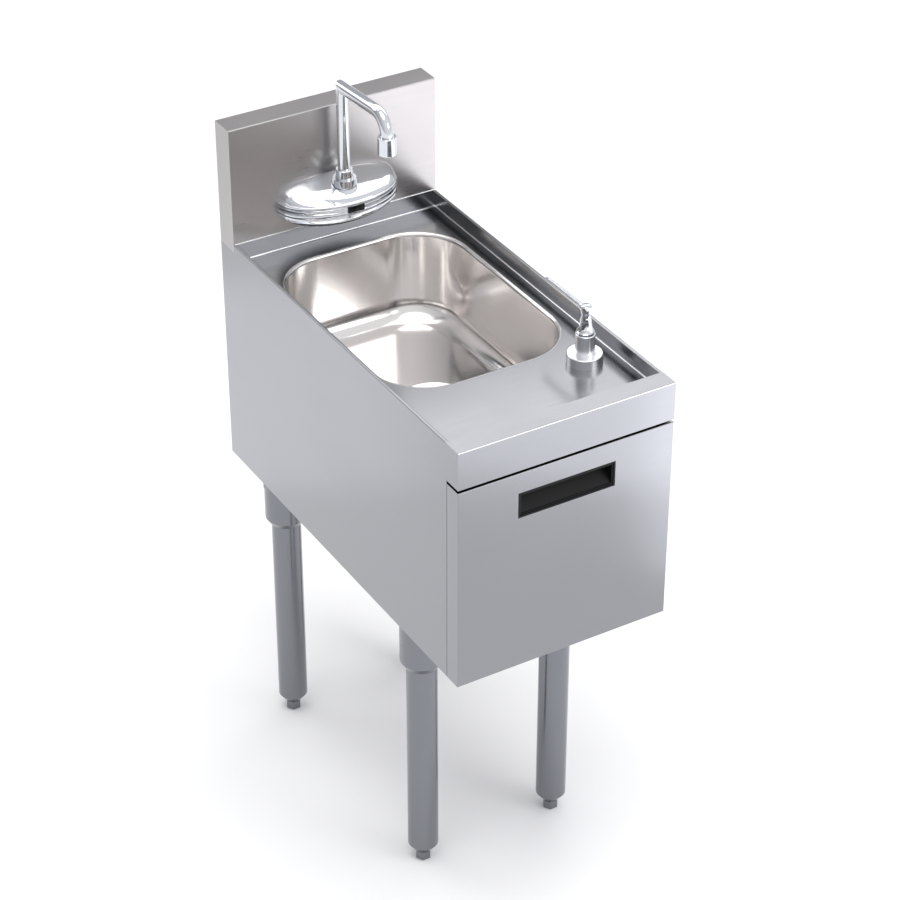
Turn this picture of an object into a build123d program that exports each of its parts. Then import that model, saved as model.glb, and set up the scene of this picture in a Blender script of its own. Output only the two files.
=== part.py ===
"""Stainless under-bar hand sink on four legs: deck-mounted soap pump, hands-free spout, pull-out drawer.

Frame: origin on the floor at the middle of the footprint, +X to the right, +Y to the back
(the front faces -Y), +Z up. All sizes are in millimetres.
"""
from build123d import *
import os

os.makedirs("parts", exist_ok=True)

# ---------------------------------------------------------------- driving dimensions
# cabinet
cabinet_width = 304.8
overall_depth = 609.6
rim_height = 774.7                  # floor to the top of the sides
splash_rise = 165.1                 # top of the sides to the top of the backsplash
splash_depth = 38.1
splash_skirt = 11.0                 # the splash ends lap this far below the rim
splash_lip = 12.7                   # turned-down lip and end flanges behind the splash
apron_height = 52.0
apron_return = 14.0
body_drop = 342.9                   # top of the sides to their lower edge
deck_recess = 25.4                  # the deck lies this far below the rim
front_rim = 28.6
sheet = 1.2
rolled_hem = 4.8                    # thickness of the rolled top edge of the sides
closed_hem = 2.4                    # thickness of a flat folded edge
hem_height = 12.0
rear_flange = 20.0
panel_gap = 0.3                     # rear panel to the closed hems at its sides
rear_panel_lift = 96.0              # open height behind, under the rear panel, for the pipes

# cross members, legs and feet
channel_width = 63.5
channel_rise = 14.0
channel_wall = 2.0
channel_lips = {"front": 4.0, "rear": 11.0}
leg_inset = 50.0                    # leg centre to the outside of the cabinet
leg_from_front = {"front": 174.2, "rear": 551.4}
leg_radius = 20.65
leg_wall = 1.6
socket_radius = 29.0
socket_mouth_radius = 23.5
socket_drop = 99.0                  # below the lower edge of the sides
socket_taper = 9.0
socket_plate = 3.0
socket_fit = 0.25                   # radial clearance, leg in socket
set_screw_radius = 4.0
set_screw_drop = 62.0
hex_height = 14.0
hex_across_flats = 19.0
cone_height = 14.0
cone_mouth_radius = 10.6
foot_stem_radius = 6.35
foot_stem_length = 52.0
foot_gap = 0.3                      # foot shoulder to the end of the leg
insert_height = 20.0
thread_fit = 0.08                   # radial clearance of a running thread

# bowl and drain
bowl_width = 254.0
bowl_length = 355.6
bowl_depth = 127.0
bowl_corner = 73.0
bowl_cove = 28.6
bowl_roll = 5.0
bowl_from_front = 350.6             # front of the cabinet to the middle of the bowl
drain_forward = 38.0                # drain centre in front of the bowl's middle
drain_hole_radius = 22.0
drain_flange_radius = 35.0
drain_flange_height = 2.0
drain_dish_radius = 52.0
drain_dish_depth = 3.0
drain_body_length = 44.0
drain_bore_radius = 17.0
strainer_radius = 18.8
strainer_hole_radius = 2.4
gasket_radius = 32.0
gasket_height = 3.0
locknut_across_flats = 58.0
locknut_height = 8.0
tailpiece_radius = 19.05
tailpiece_length = 102.0
tailpiece_bead = 0.4                # swelling under the flange, inside the nut
tailpiece_nut_radius = 26.0
tailpiece_nut_height = 16.0
pipe_wall = 1.3
fixed_fit = 0.05                    # radial clearance between pieces that stay together

# faucet, heights above the rim
housing_half_width = 87.0
housing_reach = 57.0
housing_lip = (30.0, 48.0)
housing_crown = ((61.0, 0.82, 0.53), (70.0, 0.39, 0.14))
housing_belly = ((2.0, 0.39, 0.28), (10.0, 0.66, 0.58), (20.0, 0.85, 0.82))
housing_groove = 1.0
housing_core = (48.0, 40.0)         # half width and reach of the hollow inside
window_size = (25.0, 9.0)
window_height = 39.0
window_depth = 3.0
riser_from_splash = 25.0
boss_radius = 13.0
boss_top = 60.0
collar_radius = 15.8
collar_top = 71.0
collar_room = 0.6                   # radial room round the collar where it sinks into the crown
collar_nut_radius = 11.8
collar_nut_top = 84.0
spout_radius = 8.2
spout_wall = 1.2
spout_foot = 50.0
spout_fit = 0.05                    # radial running clearance of the swivel
elbow_height = 200.0
spout_reach = 116.0
spout_climb = 8.0
spout_bend = 26.0
spout_end_height = 172.0
aerator_radius = 12.2
aerator_height = 24.0
aerator_lap = 8.5
shank_radius = 8.5
shank_height = 39.0
shank_reach = 24.0
shank_block = 24.0
shank_nut_across_flats = 30.0
shank_nut_height = 7.0
mount_screw_spacing = 110.0
mount_screw_radius = 2.5
elbow_radius = 8.0

# control box, hose and cable
control_width = 96.0
control_depth = 38.0
control_height = 96.0
control_wall = 2.5
control_drop = 130.0                # rim to the top of the box
control_offset = -62.0              # middle of the box from the middle of the cabinet
control_screw_radius = 2.0
inlet_radius = 8.3
inlet_length = 16.0
inlet_from_panel = 12.0             # rear panel to the inlet's axis, clear behind the cross member
inlet_across_flats = 19.0
inlet_hex_height = 5.0
hose_radius = 5.0
cable_radius = 2.2
cable_hole_radius = 4.0
cable_from_middle = -28.0

# soap pump, heights above the rim
pump_from_right = 44.6
pump_from_front = 132.0
pump_flange_radius = 23.0
pump_flange_height = 13.0
pump_body_radius = 12.6
pump_body_top = 15.0
pump_body_bore = 10.2
pump_body_below_deck = 34.0
pump_nut_across_flats = 36.0
pump_nut_height = 7.0
dome_radius = 9.8
dome_top = 33.0
dome_band = 3.0                     # height of the plain ring under the bell
neck_radius = 6.6
neck_foot = 20.0
head_top = 55.0
head_height = 11.0
nozzle_radius = 3.2
nozzle_tip_radius = 2.5
nozzle_reach = 91.0
nozzle_height = 48.0
pump_fit = 0.08                     # radial running clearance inside the pump
stem_radius = 2.4
stem_top = 41.0
stem_collar_height = 3.0
cylinder_radius = 8.6
cylinder_bore = 6.5
cylinder_top = 12.0
cylinder_below_deck = 40.0
spring_wire = 0.5
spring_radius = 4.6
spring_turns = 8
bottle_radius = 33.0
bottle_height = 118.0
bottle_neck_height = 16.0
bottle_wall = 1.5
dip_tube_radius = 2.6

# drawer
drawer_gap = 4.0                    # apron to drawer front
drawer_pan_depth = 25.4
drawer_side_gap = 0.8               # drawer front to the sides behind it
drawer_box_depth = 255.6
drawer_box_height = 105.0
drawer_side_room = 13.2             # drawer box to the side panel
drawer_floor_lift = 20.0
pull_width = 138.0
pull_height = 36.0
pull_drop = 28.4                    # top of the drawer front to the top of the pull
pull_depth = 20.0
pull_bezel = 4.5
pull_step = 1.2
pull_fit = 0.2
pull_flange = 5.0                   # lap behind the sheet round the opening
rail_height = 34.4
rail_depth = 10.4
rail_wall = 1.5
rail_lift = 73.0                    # lower edge of the sides to the middle of the rails
slide_height = 26.0
slide_depth = 10.0
slide_short = 16.0
glide_length = 30.0
glide_width = 6.0
glide_fit = 0.3

# ---------------------------------------------------------------- places worked out from them
half_width = cabinet_width / 2
inner_x = half_width - sheet
front_y = -overall_depth / 2
back_y = overall_depth / 2
splash_face_y = back_y - splash_depth
rim_back_y = front_y + front_rim
pan_back_y = front_y + drawer_pan_depth
panel_front_y = pan_back_y + drawer_side_gap
rear_panel_y = back_y - 2 * sheet
top_z = rim_height + splash_rise
skirt_z = rim_height - splash_skirt
deck_z = rim_height - deck_recess
apron_bottom_z = rim_height - apron_height
body_bottom_z = rim_height - body_drop
channel_top_z = body_bottom_z + channel_rise
bowl_y = front_y + bowl_from_front
bowl_floor_z = deck_z - bowl_depth
drain_y = bowl_y - drain_forward
dish_z = bowl_floor_z - drain_dish_depth
drain_bottom_z = dish_z - drain_body_length
gasket_z = dish_z - sheet - gasket_height
leg_foot_z = hex_height + cone_height
leg_top_z = channel_top_z - channel_wall - socket_plate
socket_bottom_z = body_bottom_z - socket_drop
leg_x = {"left": -(half_width - leg_inset), "right": half_width - leg_inset}
leg_y = {row: front_y + distance for row, distance in leg_from_front.items()}
leg_places = {f"{row}_{side}": (leg_x[side], leg_y[row]) for row in leg_y for side in leg_x}
riser_y = splash_face_y - riser_from_splash
shank_z = rim_height + shank_height
elbow_y = splash_face_y + shank_reach + 4.0
control_top_z = rim_height - control_drop
control_front_y = rear_panel_y - control_depth
control_port_y = rear_panel_y - control_depth / 2
inlet_y = rear_panel_y - inlet_from_panel
pump_x = half_width - pump_from_right
pump_y = front_y + pump_from_front
bottle_top_z = deck_z - pump_body_below_deck + bottle_neck_height / 2
drawer_top_z = apron_bottom_z - drawer_gap
drawer_floor_z = body_bottom_z + drawer_floor_lift
drawer_back_y = pan_back_y + drawer_box_depth
drawer_box_half_width = inner_x - drawer_side_room
pull_top_z = drawer_top_z - pull_drop
pull_z = pull_top_z - pull_height / 2
rail_z = body_bottom_z + rail_lift


def save(piece, name):
    """Label a finished piece and write it under its own name."""
    piece.part.label = name
    export_step(piece.part, f"parts/{name}.step")


def block(x, y, z, mode=Mode.ADD):
    """A block between the two ends given along each axis, in the open part."""
    size = [abs(high - low) for low, high in (x, y, z)]
    with Locations(tuple((low + high) / 2 for low, high in (x, y, z))):
        Box(*size, mode=mode)


def stack(rings, x=0.0, y=0.0):
    """Turned solid from (lower z, upper z, radius) rings on one upright axis, in the open part."""
    for low, high, radius in rings:
        with Locations((x, y, (low + high) / 2)):
            Cylinder(radius, high - low)


def bore(radius, low, high, x=0.0, y=0.0):
    """Upright round hole between two heights, in the open part."""
    with Locations((x, y, (low + high) / 2)):
        Cylinder(radius, high - low, mode=Mode.SUBTRACT)


# ---------------------------------------------------------------- cabinet shell
def make_deck_pan():
    """Deck, front rim and apron in one folding, with the holes for the bowl and the pump."""
    with BuildPart() as deck_pan:
        block((-inner_x, inner_x), (rim_back_y - sheet, splash_face_y), (deck_z - sheet, deck_z))
        block((-inner_x, inner_x), (rim_back_y - sheet, rim_back_y), (deck_z - sheet, rim_height))
        block((-inner_x, inner_x), (splash_face_y, splash_face_y + sheet), (deck_z - sheet, rim_height))
        with BuildSketch(Plane.YZ.offset(-half_width)):
            with BuildLine():
                Polyline(
                    (rim_back_y, rim_height),
                    (front_y, rim_height),
                    (front_y, apron_bottom_z),
                    (front_y + apron_return, apron_bottom_z),
                    (front_y + apron_return, apron_bottom_z + sheet),
                    (front_y + sheet, apron_bottom_z + sheet),
                    (front_y + sheet, rim_height - sheet),
                    (rim_back_y, rim_height - sheet),
                    close=True,
                )
            make_face()
        extrude(amount=cabinet_width)
        for side in (-1, 1):
            block((side * inner_x, side * half_width), (front_y, rim_back_y), (apron_bottom_z, rim_height))
        with BuildSketch(Plane.XY.offset(deck_z)):
            with Locations((0, bowl_y)):
                RectangleRounded(
                    bowl_width + 2 * bowl_roll, bowl_length + 2 * bowl_roll, bowl_corner + bowl_roll
                )
        extrude(amount=-2 * sheet, mode=Mode.SUBTRACT)
        bore(pump_body_radius + fixed_fit, deck_z - 2 * sheet, deck_z + sheet, pump_x, pump_y)
        front_bend = deck_pan.edges().filter_by(Axis.X).filter_by_position(
            Axis.Y, front_y - 0.1, front_y + 0.1
        ).group_by(Axis.Z)[-1]
        fillet(front_bend, radius=sheet)
    save(deck_pan, "deck_pan")


def make_side_panel(side, name):
    """One side of the cabinet: rolled top edge, flat hems in front and below, a flange behind."""
    outer = side * half_width
    with BuildPart() as side_panel:
        with BuildSketch(Plane.YZ.offset(outer)):
            with BuildLine():
                Polyline(
                    (panel_front_y, body_bottom_z),
                    (panel_front_y, apron_bottom_z),
                    (rim_back_y, apron_bottom_z),
                    (rim_back_y, rim_height),
                    (splash_face_y, rim_height),
                    (splash_face_y, skirt_z),
                    (back_y, skirt_z),
                    (back_y, body_bottom_z),
                    close=True,
                )
            make_face()
        extrude(amount=-side * sheet)
        rolled_x = (outer, outer - side * rolled_hem)
        flat_x = (outer, outer - side * closed_hem)
        block(rolled_x, (rim_back_y, splash_face_y), (rim_height - hem_height, rim_height))
        block(flat_x, (panel_front_y, back_y), (body_bottom_z, body_bottom_z + hem_height))
        block(
            flat_x,
            (panel_front_y, panel_front_y + hem_height),
            (body_bottom_z, apron_bottom_z - hem_height),
        )
        block((outer, outer - side * rear_flange), (back_y - sheet, back_y), (body_bottom_z, skirt_z))
        rolled_edges = side_panel.edges().filter_by(Axis.Y).group_by(Axis.Z)[-1]
        fillet(rolled_edges, radius=rolled_hem * 0.3)
    save(side_panel, name)


def make_backsplash():
    """Hollow splash: face, top, two ends that lap the sides, and lips turned in behind."""
    with BuildPart() as backsplash:
        block((-half_width, half_width), (splash_face_y, back_y), (rim_height, top_z))
        block(
            (-inner_x, inner_x),
            (splash_face_y + sheet, back_y - sheet),
            (rim_height, top_z - sheet),
            mode=Mode.SUBTRACT,
        )
        block(
            (-half_width + splash_lip, half_width - splash_lip),
            (back_y - sheet, back_y),
            (rim_height, top_z - splash_lip),
            mode=Mode.SUBTRACT,
        )
        for side in (-1, 1):
            block((side * inner_x, side * half_width), (splash_face_y, back_y), (skirt_z, rim_height))
        with Locations(Plane((0, splash_face_y, shank_z), x_dir=(1, 0, 0), z_dir=(0, -1, 0))):
            Hole(radius=shank_radius + 1.0, depth=2 * sheet)
            with Locations((cable_from_middle, 0)):
                Hole(radius=cable_hole_radius, depth=2 * sheet)
            with GridLocations(mount_screw_spacing, 0, 2, 1):
                Hole(radius=mount_screw_radius + 0.5, depth=2 * sheet)
        bends = backsplash.edges().filter_by(Axis.X).group_by(Axis.Z)[-1].sort_by(Axis.Y)
        fillet([bends[0], bends[-1]], radius=sheet)
    save(backsplash, "backsplash")


def make_rear_panel():
    """Back of the cabinet, inside the side flanges, open below for the drain and the supply."""
    reach = half_width - closed_hem - panel_gap
    with BuildPart() as rear_panel:
        block(
            (-reach, reach),
            (rear_panel_y, rear_panel_y + sheet),
            (body_bottom_z + rear_panel_lift, skirt_z),
        )
    save(rear_panel, "rear_panel")


def make_channel(row):
    """Cross member over a pair of legs; its flange towards the middle hangs a little lower."""
    reach = half_width - closed_hem
    middle = leg_y[row]
    inward = 1 if row == "front" else -1
    inner_face = middle + inward * channel_width / 2
    outer_face = middle - inward * channel_width / 2
    with BuildPart() as channel:
        block(
            (-reach, reach),
            (middle - channel_width / 2, middle + channel_width / 2),
            (channel_top_z - channel_wall, channel_top_z),
        )
        block(
            (-reach, reach),
            (outer_face, outer_face + inward * channel_wall),
            (body_bottom_z, channel_top_z),
        )
        block(
            (-reach, reach),
            (inner_face, inner_face - inward * channel_wall),
            (body_bottom_z - channel_lips[row], channel_top_z),
        )
    save(channel, f"{row}_channel")


# ---------------------------------------------------------------- legs
def make_leg_set(place, x, y):
    """Socket, tube and levelling foot of one leg."""
    inward = -1 if x > 0 else 1
    with BuildPart() as leg_socket:
        block(
            (x - socket_radius, x + socket_radius),
            (y - socket_radius, y + socket_radius),
            (leg_top_z, leg_top_z + socket_plate),
        )
        stack([(socket_bottom_z + socket_taper, leg_top_z, socket_radius)], x, y)
        with Locations((x, y, socket_bottom_z + socket_taper / 2)):
            Cone(socket_mouth_radius, socket_radius, socket_taper)
        bore(leg_radius + socket_fit, socket_bottom_z, leg_top_z, x, y)
        with Locations(
            Plane((x + inward * leg_radius, y, body_bottom_z - set_screw_drop), z_dir=(inward, 0, 0))
        ):
            Cylinder(
                set_screw_radius + fixed_fit,
                2 * socket_radius,
                align=(Align.CENTER, Align.CENTER, Align.MIN),
                mode=Mode.SUBTRACT,
            )
    save(leg_socket, f"leg_socket_{place}")

    with BuildPart() as leg:
        stack([(leg_foot_z, leg_top_z, leg_radius)], x, y)
        bore(leg_radius - leg_wall, leg_foot_z, leg_top_z, x, y)
    save(leg, f"leg_{place}")

    with BuildPart() as foot:
        with BuildSketch(Plane.XY):
            with Locations((x, y)):
                RegularPolygon(hex_across_flats / 2, 6, major_radius=False)
        extrude(amount=hex_height)
        with Locations((x, y, hex_height + (cone_height - foot_gap) / 2)):
            Cone(cone_mouth_radius, leg_radius - 0.3, cone_height - foot_gap)
        stack([(leg_foot_z - foot_gap, leg_foot_z + foot_stem_length, foot_stem_radius)], x, y)
        chamfer(foot.edges().filter_by(Axis.Z, reverse=True).group_by(Axis.Z)[0], length=1.0)
    save(foot, f"foot_{place}")


def make_leg_hardware():
    """Threaded plugs pressed into the ends of the tubes, and the set screws of the sockets."""
    with BuildPart() as foot_inserts:
        for x, y in leg_places.values():
            stack([(leg_foot_z, leg_foot_z + insert_height, leg_radius - leg_wall - fixed_fit)], x, y)
            bore(foot_stem_radius + thread_fit, leg_foot_z, leg_foot_z + insert_height, x, y)
    save(foot_inserts, "foot_inserts")

    with BuildPart() as socket_set_screws:
        for x, y in leg_places.values():
            inward = -1 if x > 0 else 1
            start = x + inward * (leg_radius + fixed_fit)
            screw_z = body_bottom_z - set_screw_drop
            with Locations(Plane((start, y, screw_z), z_dir=(inward, 0, 0))):
                Cylinder(
                    set_screw_radius,
                    socket_radius - leg_radius,
                    align=(Align.CENTER, Align.CENTER, Align.MIN),
                )
            with BuildSketch(
                Plane((x + inward * socket_radius, y, screw_z), z_dir=(inward, 0, 0))
            ):
                RegularPolygon(set_screw_radius * 0.5, 6)
            extrude(amount=-3.0, mode=Mode.SUBTRACT)
    save(socket_set_screws, "socket_set_screws")


# ---------------------------------------------------------------- bowl and drain
def make_sink_bowl():
    """Drawn bowl with upright walls, a coved floor, a rolled rim and a dished drain seat."""
    with BuildPart() as cavity:
        with BuildSketch(Plane.XY.offset(deck_z)):
            with Locations((0, bowl_y)):
                RectangleRounded(bowl_width, bowl_length, bowl_corner)
        extrude(amount=-bowl_depth)
        fillet(cavity.faces().sort_by(Axis.Z)[0].edges(), radius=bowl_cove)
        with Locations((0, drain_y, bowl_floor_z - drain_dish_depth / 2)):
            Cone(drain_flange_radius + 1.0, drain_dish_radius, drain_dish_depth)

    with BuildPart() as sink_bowl:
        with BuildSketch(Plane.XY.offset(deck_z)):
            with Locations((0, bowl_y)):
                RectangleRounded(bowl_width + 2 * sheet, bowl_length + 2 * sheet, bowl_corner + sheet)
        extrude(amount=-(bowl_depth + sheet))
        fillet(sink_bowl.faces().sort_by(Axis.Z)[0].edges(), radius=bowl_cove + sheet)
        with Locations((0, drain_y, bowl_floor_z - sheet - drain_dish_depth / 2)):
            Cone(drain_flange_radius + 1.0 + sheet, drain_dish_radius + sheet, drain_dish_depth)
        with BuildSketch(Plane.XY.offset(deck_z)):
            with Locations((0, bowl_y)):
                RectangleRounded(
                    bowl_width + 2 * bowl_roll, bowl_length + 2 * bowl_roll, bowl_corner + bowl_roll
                )
        extrude(amount=-(bowl_roll + sheet))
        add(cavity.part, mode=Mode.SUBTRACT)
        bore(drain_hole_radius, dish_z - 2 * sheet, dish_z + sheet, 0, drain_y)
        top_face = sink_bowl.faces().filter_by(Axis.Z).sort_by(Axis.Z)[-1]
        fillet(top_face.inner_wires()[0].edges(), radius=bowl_roll * 0.96)
    save(sink_bowl, "sink_bowl")


def make_drain():
    """Flanged drain body, strainer, gasket, locknut, tailpiece and its nut on one upright axis."""
    body_radius = drain_hole_radius - 0.3
    with BuildPart() as drain_flange:
        stack(
            [
                (dish_z, dish_z + drain_flange_height, drain_flange_radius),
                (drain_bottom_z, dish_z, body_radius),
            ],
            0,
            drain_y,
        )
        bore(drain_bore_radius, drain_bottom_z, dish_z + drain_flange_height, 0, drain_y)
        bore(
            strainer_radius + fixed_fit, dish_z - 1.5, dish_z + drain_flange_height, 0, drain_y
        )
        fillet(drain_flange.edges().filter_by(GeomType.CIRCLE).group_by(Axis.Z)[-1], radius=0.9)
    save(drain_flange, "drain_flange")

    with BuildPart() as drain_strainer:
        stack([(dish_z - 1.5, dish_z, strainer_radius)], 0, drain_y)
        with Locations((0, drain_y, dish_z)):
            Hole(radius=strainer_hole_radius, depth=3.0)
            for ring_radius, count in ((7.0, 6), (13.5, 12)):
                with PolarLocations(ring_radius, count):
                    Hole(radius=strainer_hole_radius, depth=3.0)
    save(drain_strainer, "drain_strainer")

    with BuildPart() as drain_gasket:
        stack([(gasket_z, gasket_z + gasket_height, gasket_radius)], 0, drain_y)
        bore(body_radius + fixed_fit, gasket_z, gasket_z + gasket_height, 0, drain_y)
    save(drain_gasket, "drain_gasket")

    with BuildPart() as drain_locknut:
        with BuildSketch(Plane.XY.offset(gasket_z - locknut_height)):
            with Locations((0, drain_y)):
                RegularPolygon(locknut_across_flats / 2, 6, major_radius=False)
                Circle(body_radius + fixed_fit, mode=Mode.SUBTRACT)
        extrude(amount=locknut_height)
        chamfer(drain_locknut.edges().filter_by(GeomType.LINE).group_by(Axis.Z)[0], length=1.2)
    save(drain_locknut, "drain_locknut")

    flange_low = drain_bottom_z - 2.0
    with BuildPart() as tailpiece:
        stack(
            [
                (drain_bottom_z - tailpiece_length, drain_bottom_z, tailpiece_radius),
                (flange_low - 3.0, drain_bottom_z, tailpiece_radius + tailpiece_bead),
                (flange_low, drain_bottom_z, body_radius - 0.5),
            ],
            0,
            drain_y,
        )
        bore(
            tailpiece_radius - pipe_wall, drain_bottom_z - tailpiece_length, drain_bottom_z, 0, drain_y
        )
    save(tailpiece, "tailpiece")

    with BuildPart() as tailpiece_nut:
        stack(
            [(flange_low - 3.0, flange_low - 3.0 + tailpiece_nut_height, tailpiece_nut_radius)],
            0,
            drain_y,
        )
        bore(body_radius + fixed_fit, flange_low, flange_low + tailpiece_nut_height, 0, drain_y)
        bore(tailpiece_radius + tailpiece_bead + fixed_fit, flange_low - 3.0, flange_low, 0, drain_y)
        with Locations((0, drain_y, flange_low - 3.0 + tailpiece_nut_height / 2)):
            with PolarLocations(tailpiece_nut_radius + 2.0, 8):
                Cylinder(4.0, tailpiece_nut_height, mode=Mode.SUBTRACT)
    save(tailpiece_nut, "tailpiece_nut")


# ---------------------------------------------------------------- faucet
def half_ellipse(height, half_length, reach):
    """D-shaped outline against the splash face, at a height above the rim."""
    with BuildSketch(Plane.XY.offset(rim_height + height)) as outline:
        with Locations((0, splash_face_y)):
            Ellipse(half_length, reach)
        with Locations((0, splash_face_y + reach)):
            Rectangle(2 * half_length, 2 * reach, mode=Mode.SUBTRACT)
    return outline.sketch


def make_faucet_body():
    """Cast housing on the splash: domed top, grooved lip, belly tapering back, boss for the spout."""
    lip_low, lip_high = housing_lip
    full = (housing_half_width, housing_reach)
    belly = [half_ellipse(z, full[0] * wide, full[1] * deep) for z, wide, deep in housing_belly]
    crown = [half_ellipse(z, full[0] * wide, full[1] * deep) for z, wide, deep in housing_crown]
    crown_top = housing_crown[-1][0] + 1.0
    with BuildPart() as faucet_body:
        loft(belly + [half_ellipse(lip_low, *full)])
        loft([half_ellipse(lip_high, *full)] + crown)
        extrude(half_ellipse(lip_low, *full), amount=lip_high - lip_low)
        groove_pitch = (lip_high - lip_low) / 3
        for step in (1, 2):
            groove_z = lip_low + step * groove_pitch
            groove = half_ellipse(groove_z, *full) - half_ellipse(
                groove_z, full[0] - housing_groove, full[1] - housing_groove
            )
            extrude(groove, amount=housing_groove, mode=Mode.SUBTRACT)
        stack([(rim_height + lip_high, rim_height + boss_top, boss_radius)], 0, riser_y)
        extrude(half_ellipse(lip_low, *housing_core), amount=lip_high - lip_low, mode=Mode.SUBTRACT)
        bore(spout_radius + spout_fit, rim_height + lip_high - 1.0, rim_height + boss_top, 0, riser_y)
        bore(collar_radius + collar_room, rim_height + boss_top, rim_height + crown_top, 0, riser_y)
        wide, tall = window_size
        block(
            (-wide / 2, wide / 2),
            (splash_face_y - housing_reach - 1.0, splash_face_y - housing_reach + window_depth),
            (rim_height + window_height - tall / 2, rim_height + window_height + tall / 2),
            mode=Mode.SUBTRACT,
        )
        with Locations(Plane((0, splash_face_y, shank_z), x_dir=(1, 0, 0), z_dir=(0, 1, 0))):
            with GridLocations(mount_screw_spacing, 0, 2, 1):
                Hole(radius=mount_screw_radius + fixed_fit, depth=14.0)
    save(faucet_body, "faucet_body")


def make_sensor_window():
    """Dark window that the hand sensor looks through, curved to follow the lip."""
    wide, tall = window_size
    full = (housing_half_width, housing_reach)
    low = window_height - tall / 2
    with BuildPart() as sensor_window:
        extrude(half_ellipse(low + pull_fit, *full), amount=tall - 2 * pull_fit)
        block(
            (-wide / 2 + pull_fit, wide / 2 - pull_fit),
            (splash_face_y - 2 * housing_reach, splash_face_y - housing_reach + window_depth),
            (rim_height + low, rim_height + low + tall),
            mode=Mode.INTERSECT,
        )
    save(sensor_window, "sensor_window")


def make_spout():
    """Swivel collar, bent spout and aerator."""
    with BuildPart() as spout_collar:
        stack(
            [
                (rim_height + boss_top, rim_height + collar_top, collar_radius),
                (rim_height + collar_top, rim_height + collar_nut_top, collar_nut_radius),
            ],
            0,
            riser_y,
        )
        bore(
            spout_radius + spout_fit, rim_height + boss_top, rim_height + collar_nut_top, 0, riser_y
        )
        rims = spout_collar.edges().filter_by(GeomType.CIRCLE).filter_by(
            lambda edge: edge.radius > spout_radius + 1.0
        )
        fillet(rims.group_by(Axis.Z)[0] + rims.group_by(Axis.Z)[-1], radius=1.2)
    save(spout_collar, "spout_collar")

    elbow_z = rim_height + elbow_height
    outlet_y = riser_y - spout_reach
    outlet_z = rim_height + spout_end_height
    with BuildPart() as spout:
        with BuildLine() as route:
            FilletPolyline(
                (0, riser_y, rim_height + spout_foot),
                (0, riser_y, elbow_z),
                (0, outlet_y, elbow_z + spout_climb),
                (0, outlet_y, outlet_z),
                radius=[spout_radius * 1.15, spout_bend],
            )
        with BuildSketch(Plane(route.line @ 0, z_dir=route.line % 0)):
            Circle(spout_radius)
            Circle(spout_radius - spout_wall, mode=Mode.SUBTRACT)
        sweep(path=route.line)
    save(spout, "spout")

    aerator_top = outlet_z + aerator_lap
    aerator_low = aerator_top - aerator_height
    with BuildPart() as aerator:
        stack([(aerator_low, aerator_top, aerator_radius)], 0, outlet_y)
        bore(spout_radius + fixed_fit, outlet_z, aerator_top, 0, outlet_y)
        bore(aerator_radius - 2.5, aerator_low, aerator_low + 4.0, 0, outlet_y)
        with Locations((0, outlet_y, outlet_z)):
            with PolarLocations(5.0, 6):
                Hole(radius=1.2, depth=aerator_height)
        rims = aerator.edges().filter_by(GeomType.CIRCLE).filter_by(
            lambda edge: abs(edge.radius - aerator_radius) < 0.01
        )
        fillet(rims, radius=0.8)
    save(aerator, "aerator")


def make_faucet_fixings():
    """Water way through the splash with its nut, the elbow behind it and two fixing screws."""
    y_axis = {"x_dir": (1, 0, 0), "z_dir": (0, 1, 0)}
    with BuildPart() as faucet_shank:
        block(
            (-shank_block / 2, shank_block / 2),
            (riser_y - shank_block / 2, splash_face_y),
            (rim_height + housing_lip[0], rim_height + housing_lip[1]),
        )
        with Locations(Plane((0, splash_face_y, shank_z), **y_axis)):
            Cylinder(shank_radius, shank_reach, align=(Align.CENTER, Align.CENTER, Align.MIN))
        stack([(shank_z, rim_height + spout_foot - 2.0, spout_radius - 1.5)], 0, riser_y)
        with Locations(Plane((0, riser_y, shank_z), **y_axis)):
            Cylinder(
                4.0,
                splash_face_y + shank_reach - riser_y,
                align=(Align.CENTER, Align.CENTER, Align.MIN),
                mode=Mode.SUBTRACT,
            )
        bore(4.0, shank_z, rim_height + spout_foot - 2.0, 0, riser_y)
    save(faucet_shank, "faucet_shank")

    with BuildPart() as shank_nut:
        with BuildSketch(Plane((0, splash_face_y + sheet, shank_z), **y_axis)):
            RegularPolygon(shank_nut_across_flats / 2, 6, major_radius=False)
            Circle(shank_radius + fixed_fit, mode=Mode.SUBTRACT)
        extrude(amount=shank_nut_height)
    save(shank_nut, "shank_nut")

    with BuildPart() as supply_elbow:
        with Locations(Plane((0, splash_face_y + sheet + shank_nut_height + 2.0, shank_z), **y_axis)):
            Cylinder(
                shank_radius + 2.0,
                elbow_y + elbow_radius - splash_face_y - sheet - shank_nut_height - 2.0,
                align=(Align.CENTER, Align.CENTER, Align.MIN),
            )
        stack([(shank_z - 26.0, shank_z, elbow_radius)], 0, elbow_y)
        with Locations(Plane((0, splash_face_y, shank_z), **y_axis)):
            Cylinder(
                shank_radius + fixed_fit,
                shank_reach,
                align=(Align.CENTER, Align.CENTER, Align.MIN),
                mode=Mode.SUBTRACT,
            )
    save(supply_elbow, "supply_elbow")

    with BuildPart() as faucet_mount_screws:
        with Locations(Plane((0, splash_face_y + sheet, shank_z), x_dir=(1, 0, 0), z_dir=(0, 1, 0))):
            with GridLocations(mount_screw_spacing, 0, 2, 1):
                Cylinder(2.2 * mount_screw_radius, 3.5, align=(Align.CENTER, Align.CENTER, Align.MIN))
                Cylinder(
                    mount_screw_radius,
                    12.0 + sheet,
                    align=(Align.CENTER, Align.CENTER, Align.MAX),
                )
    save(faucet_mount_screws, "faucet_mount_screws")


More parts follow.
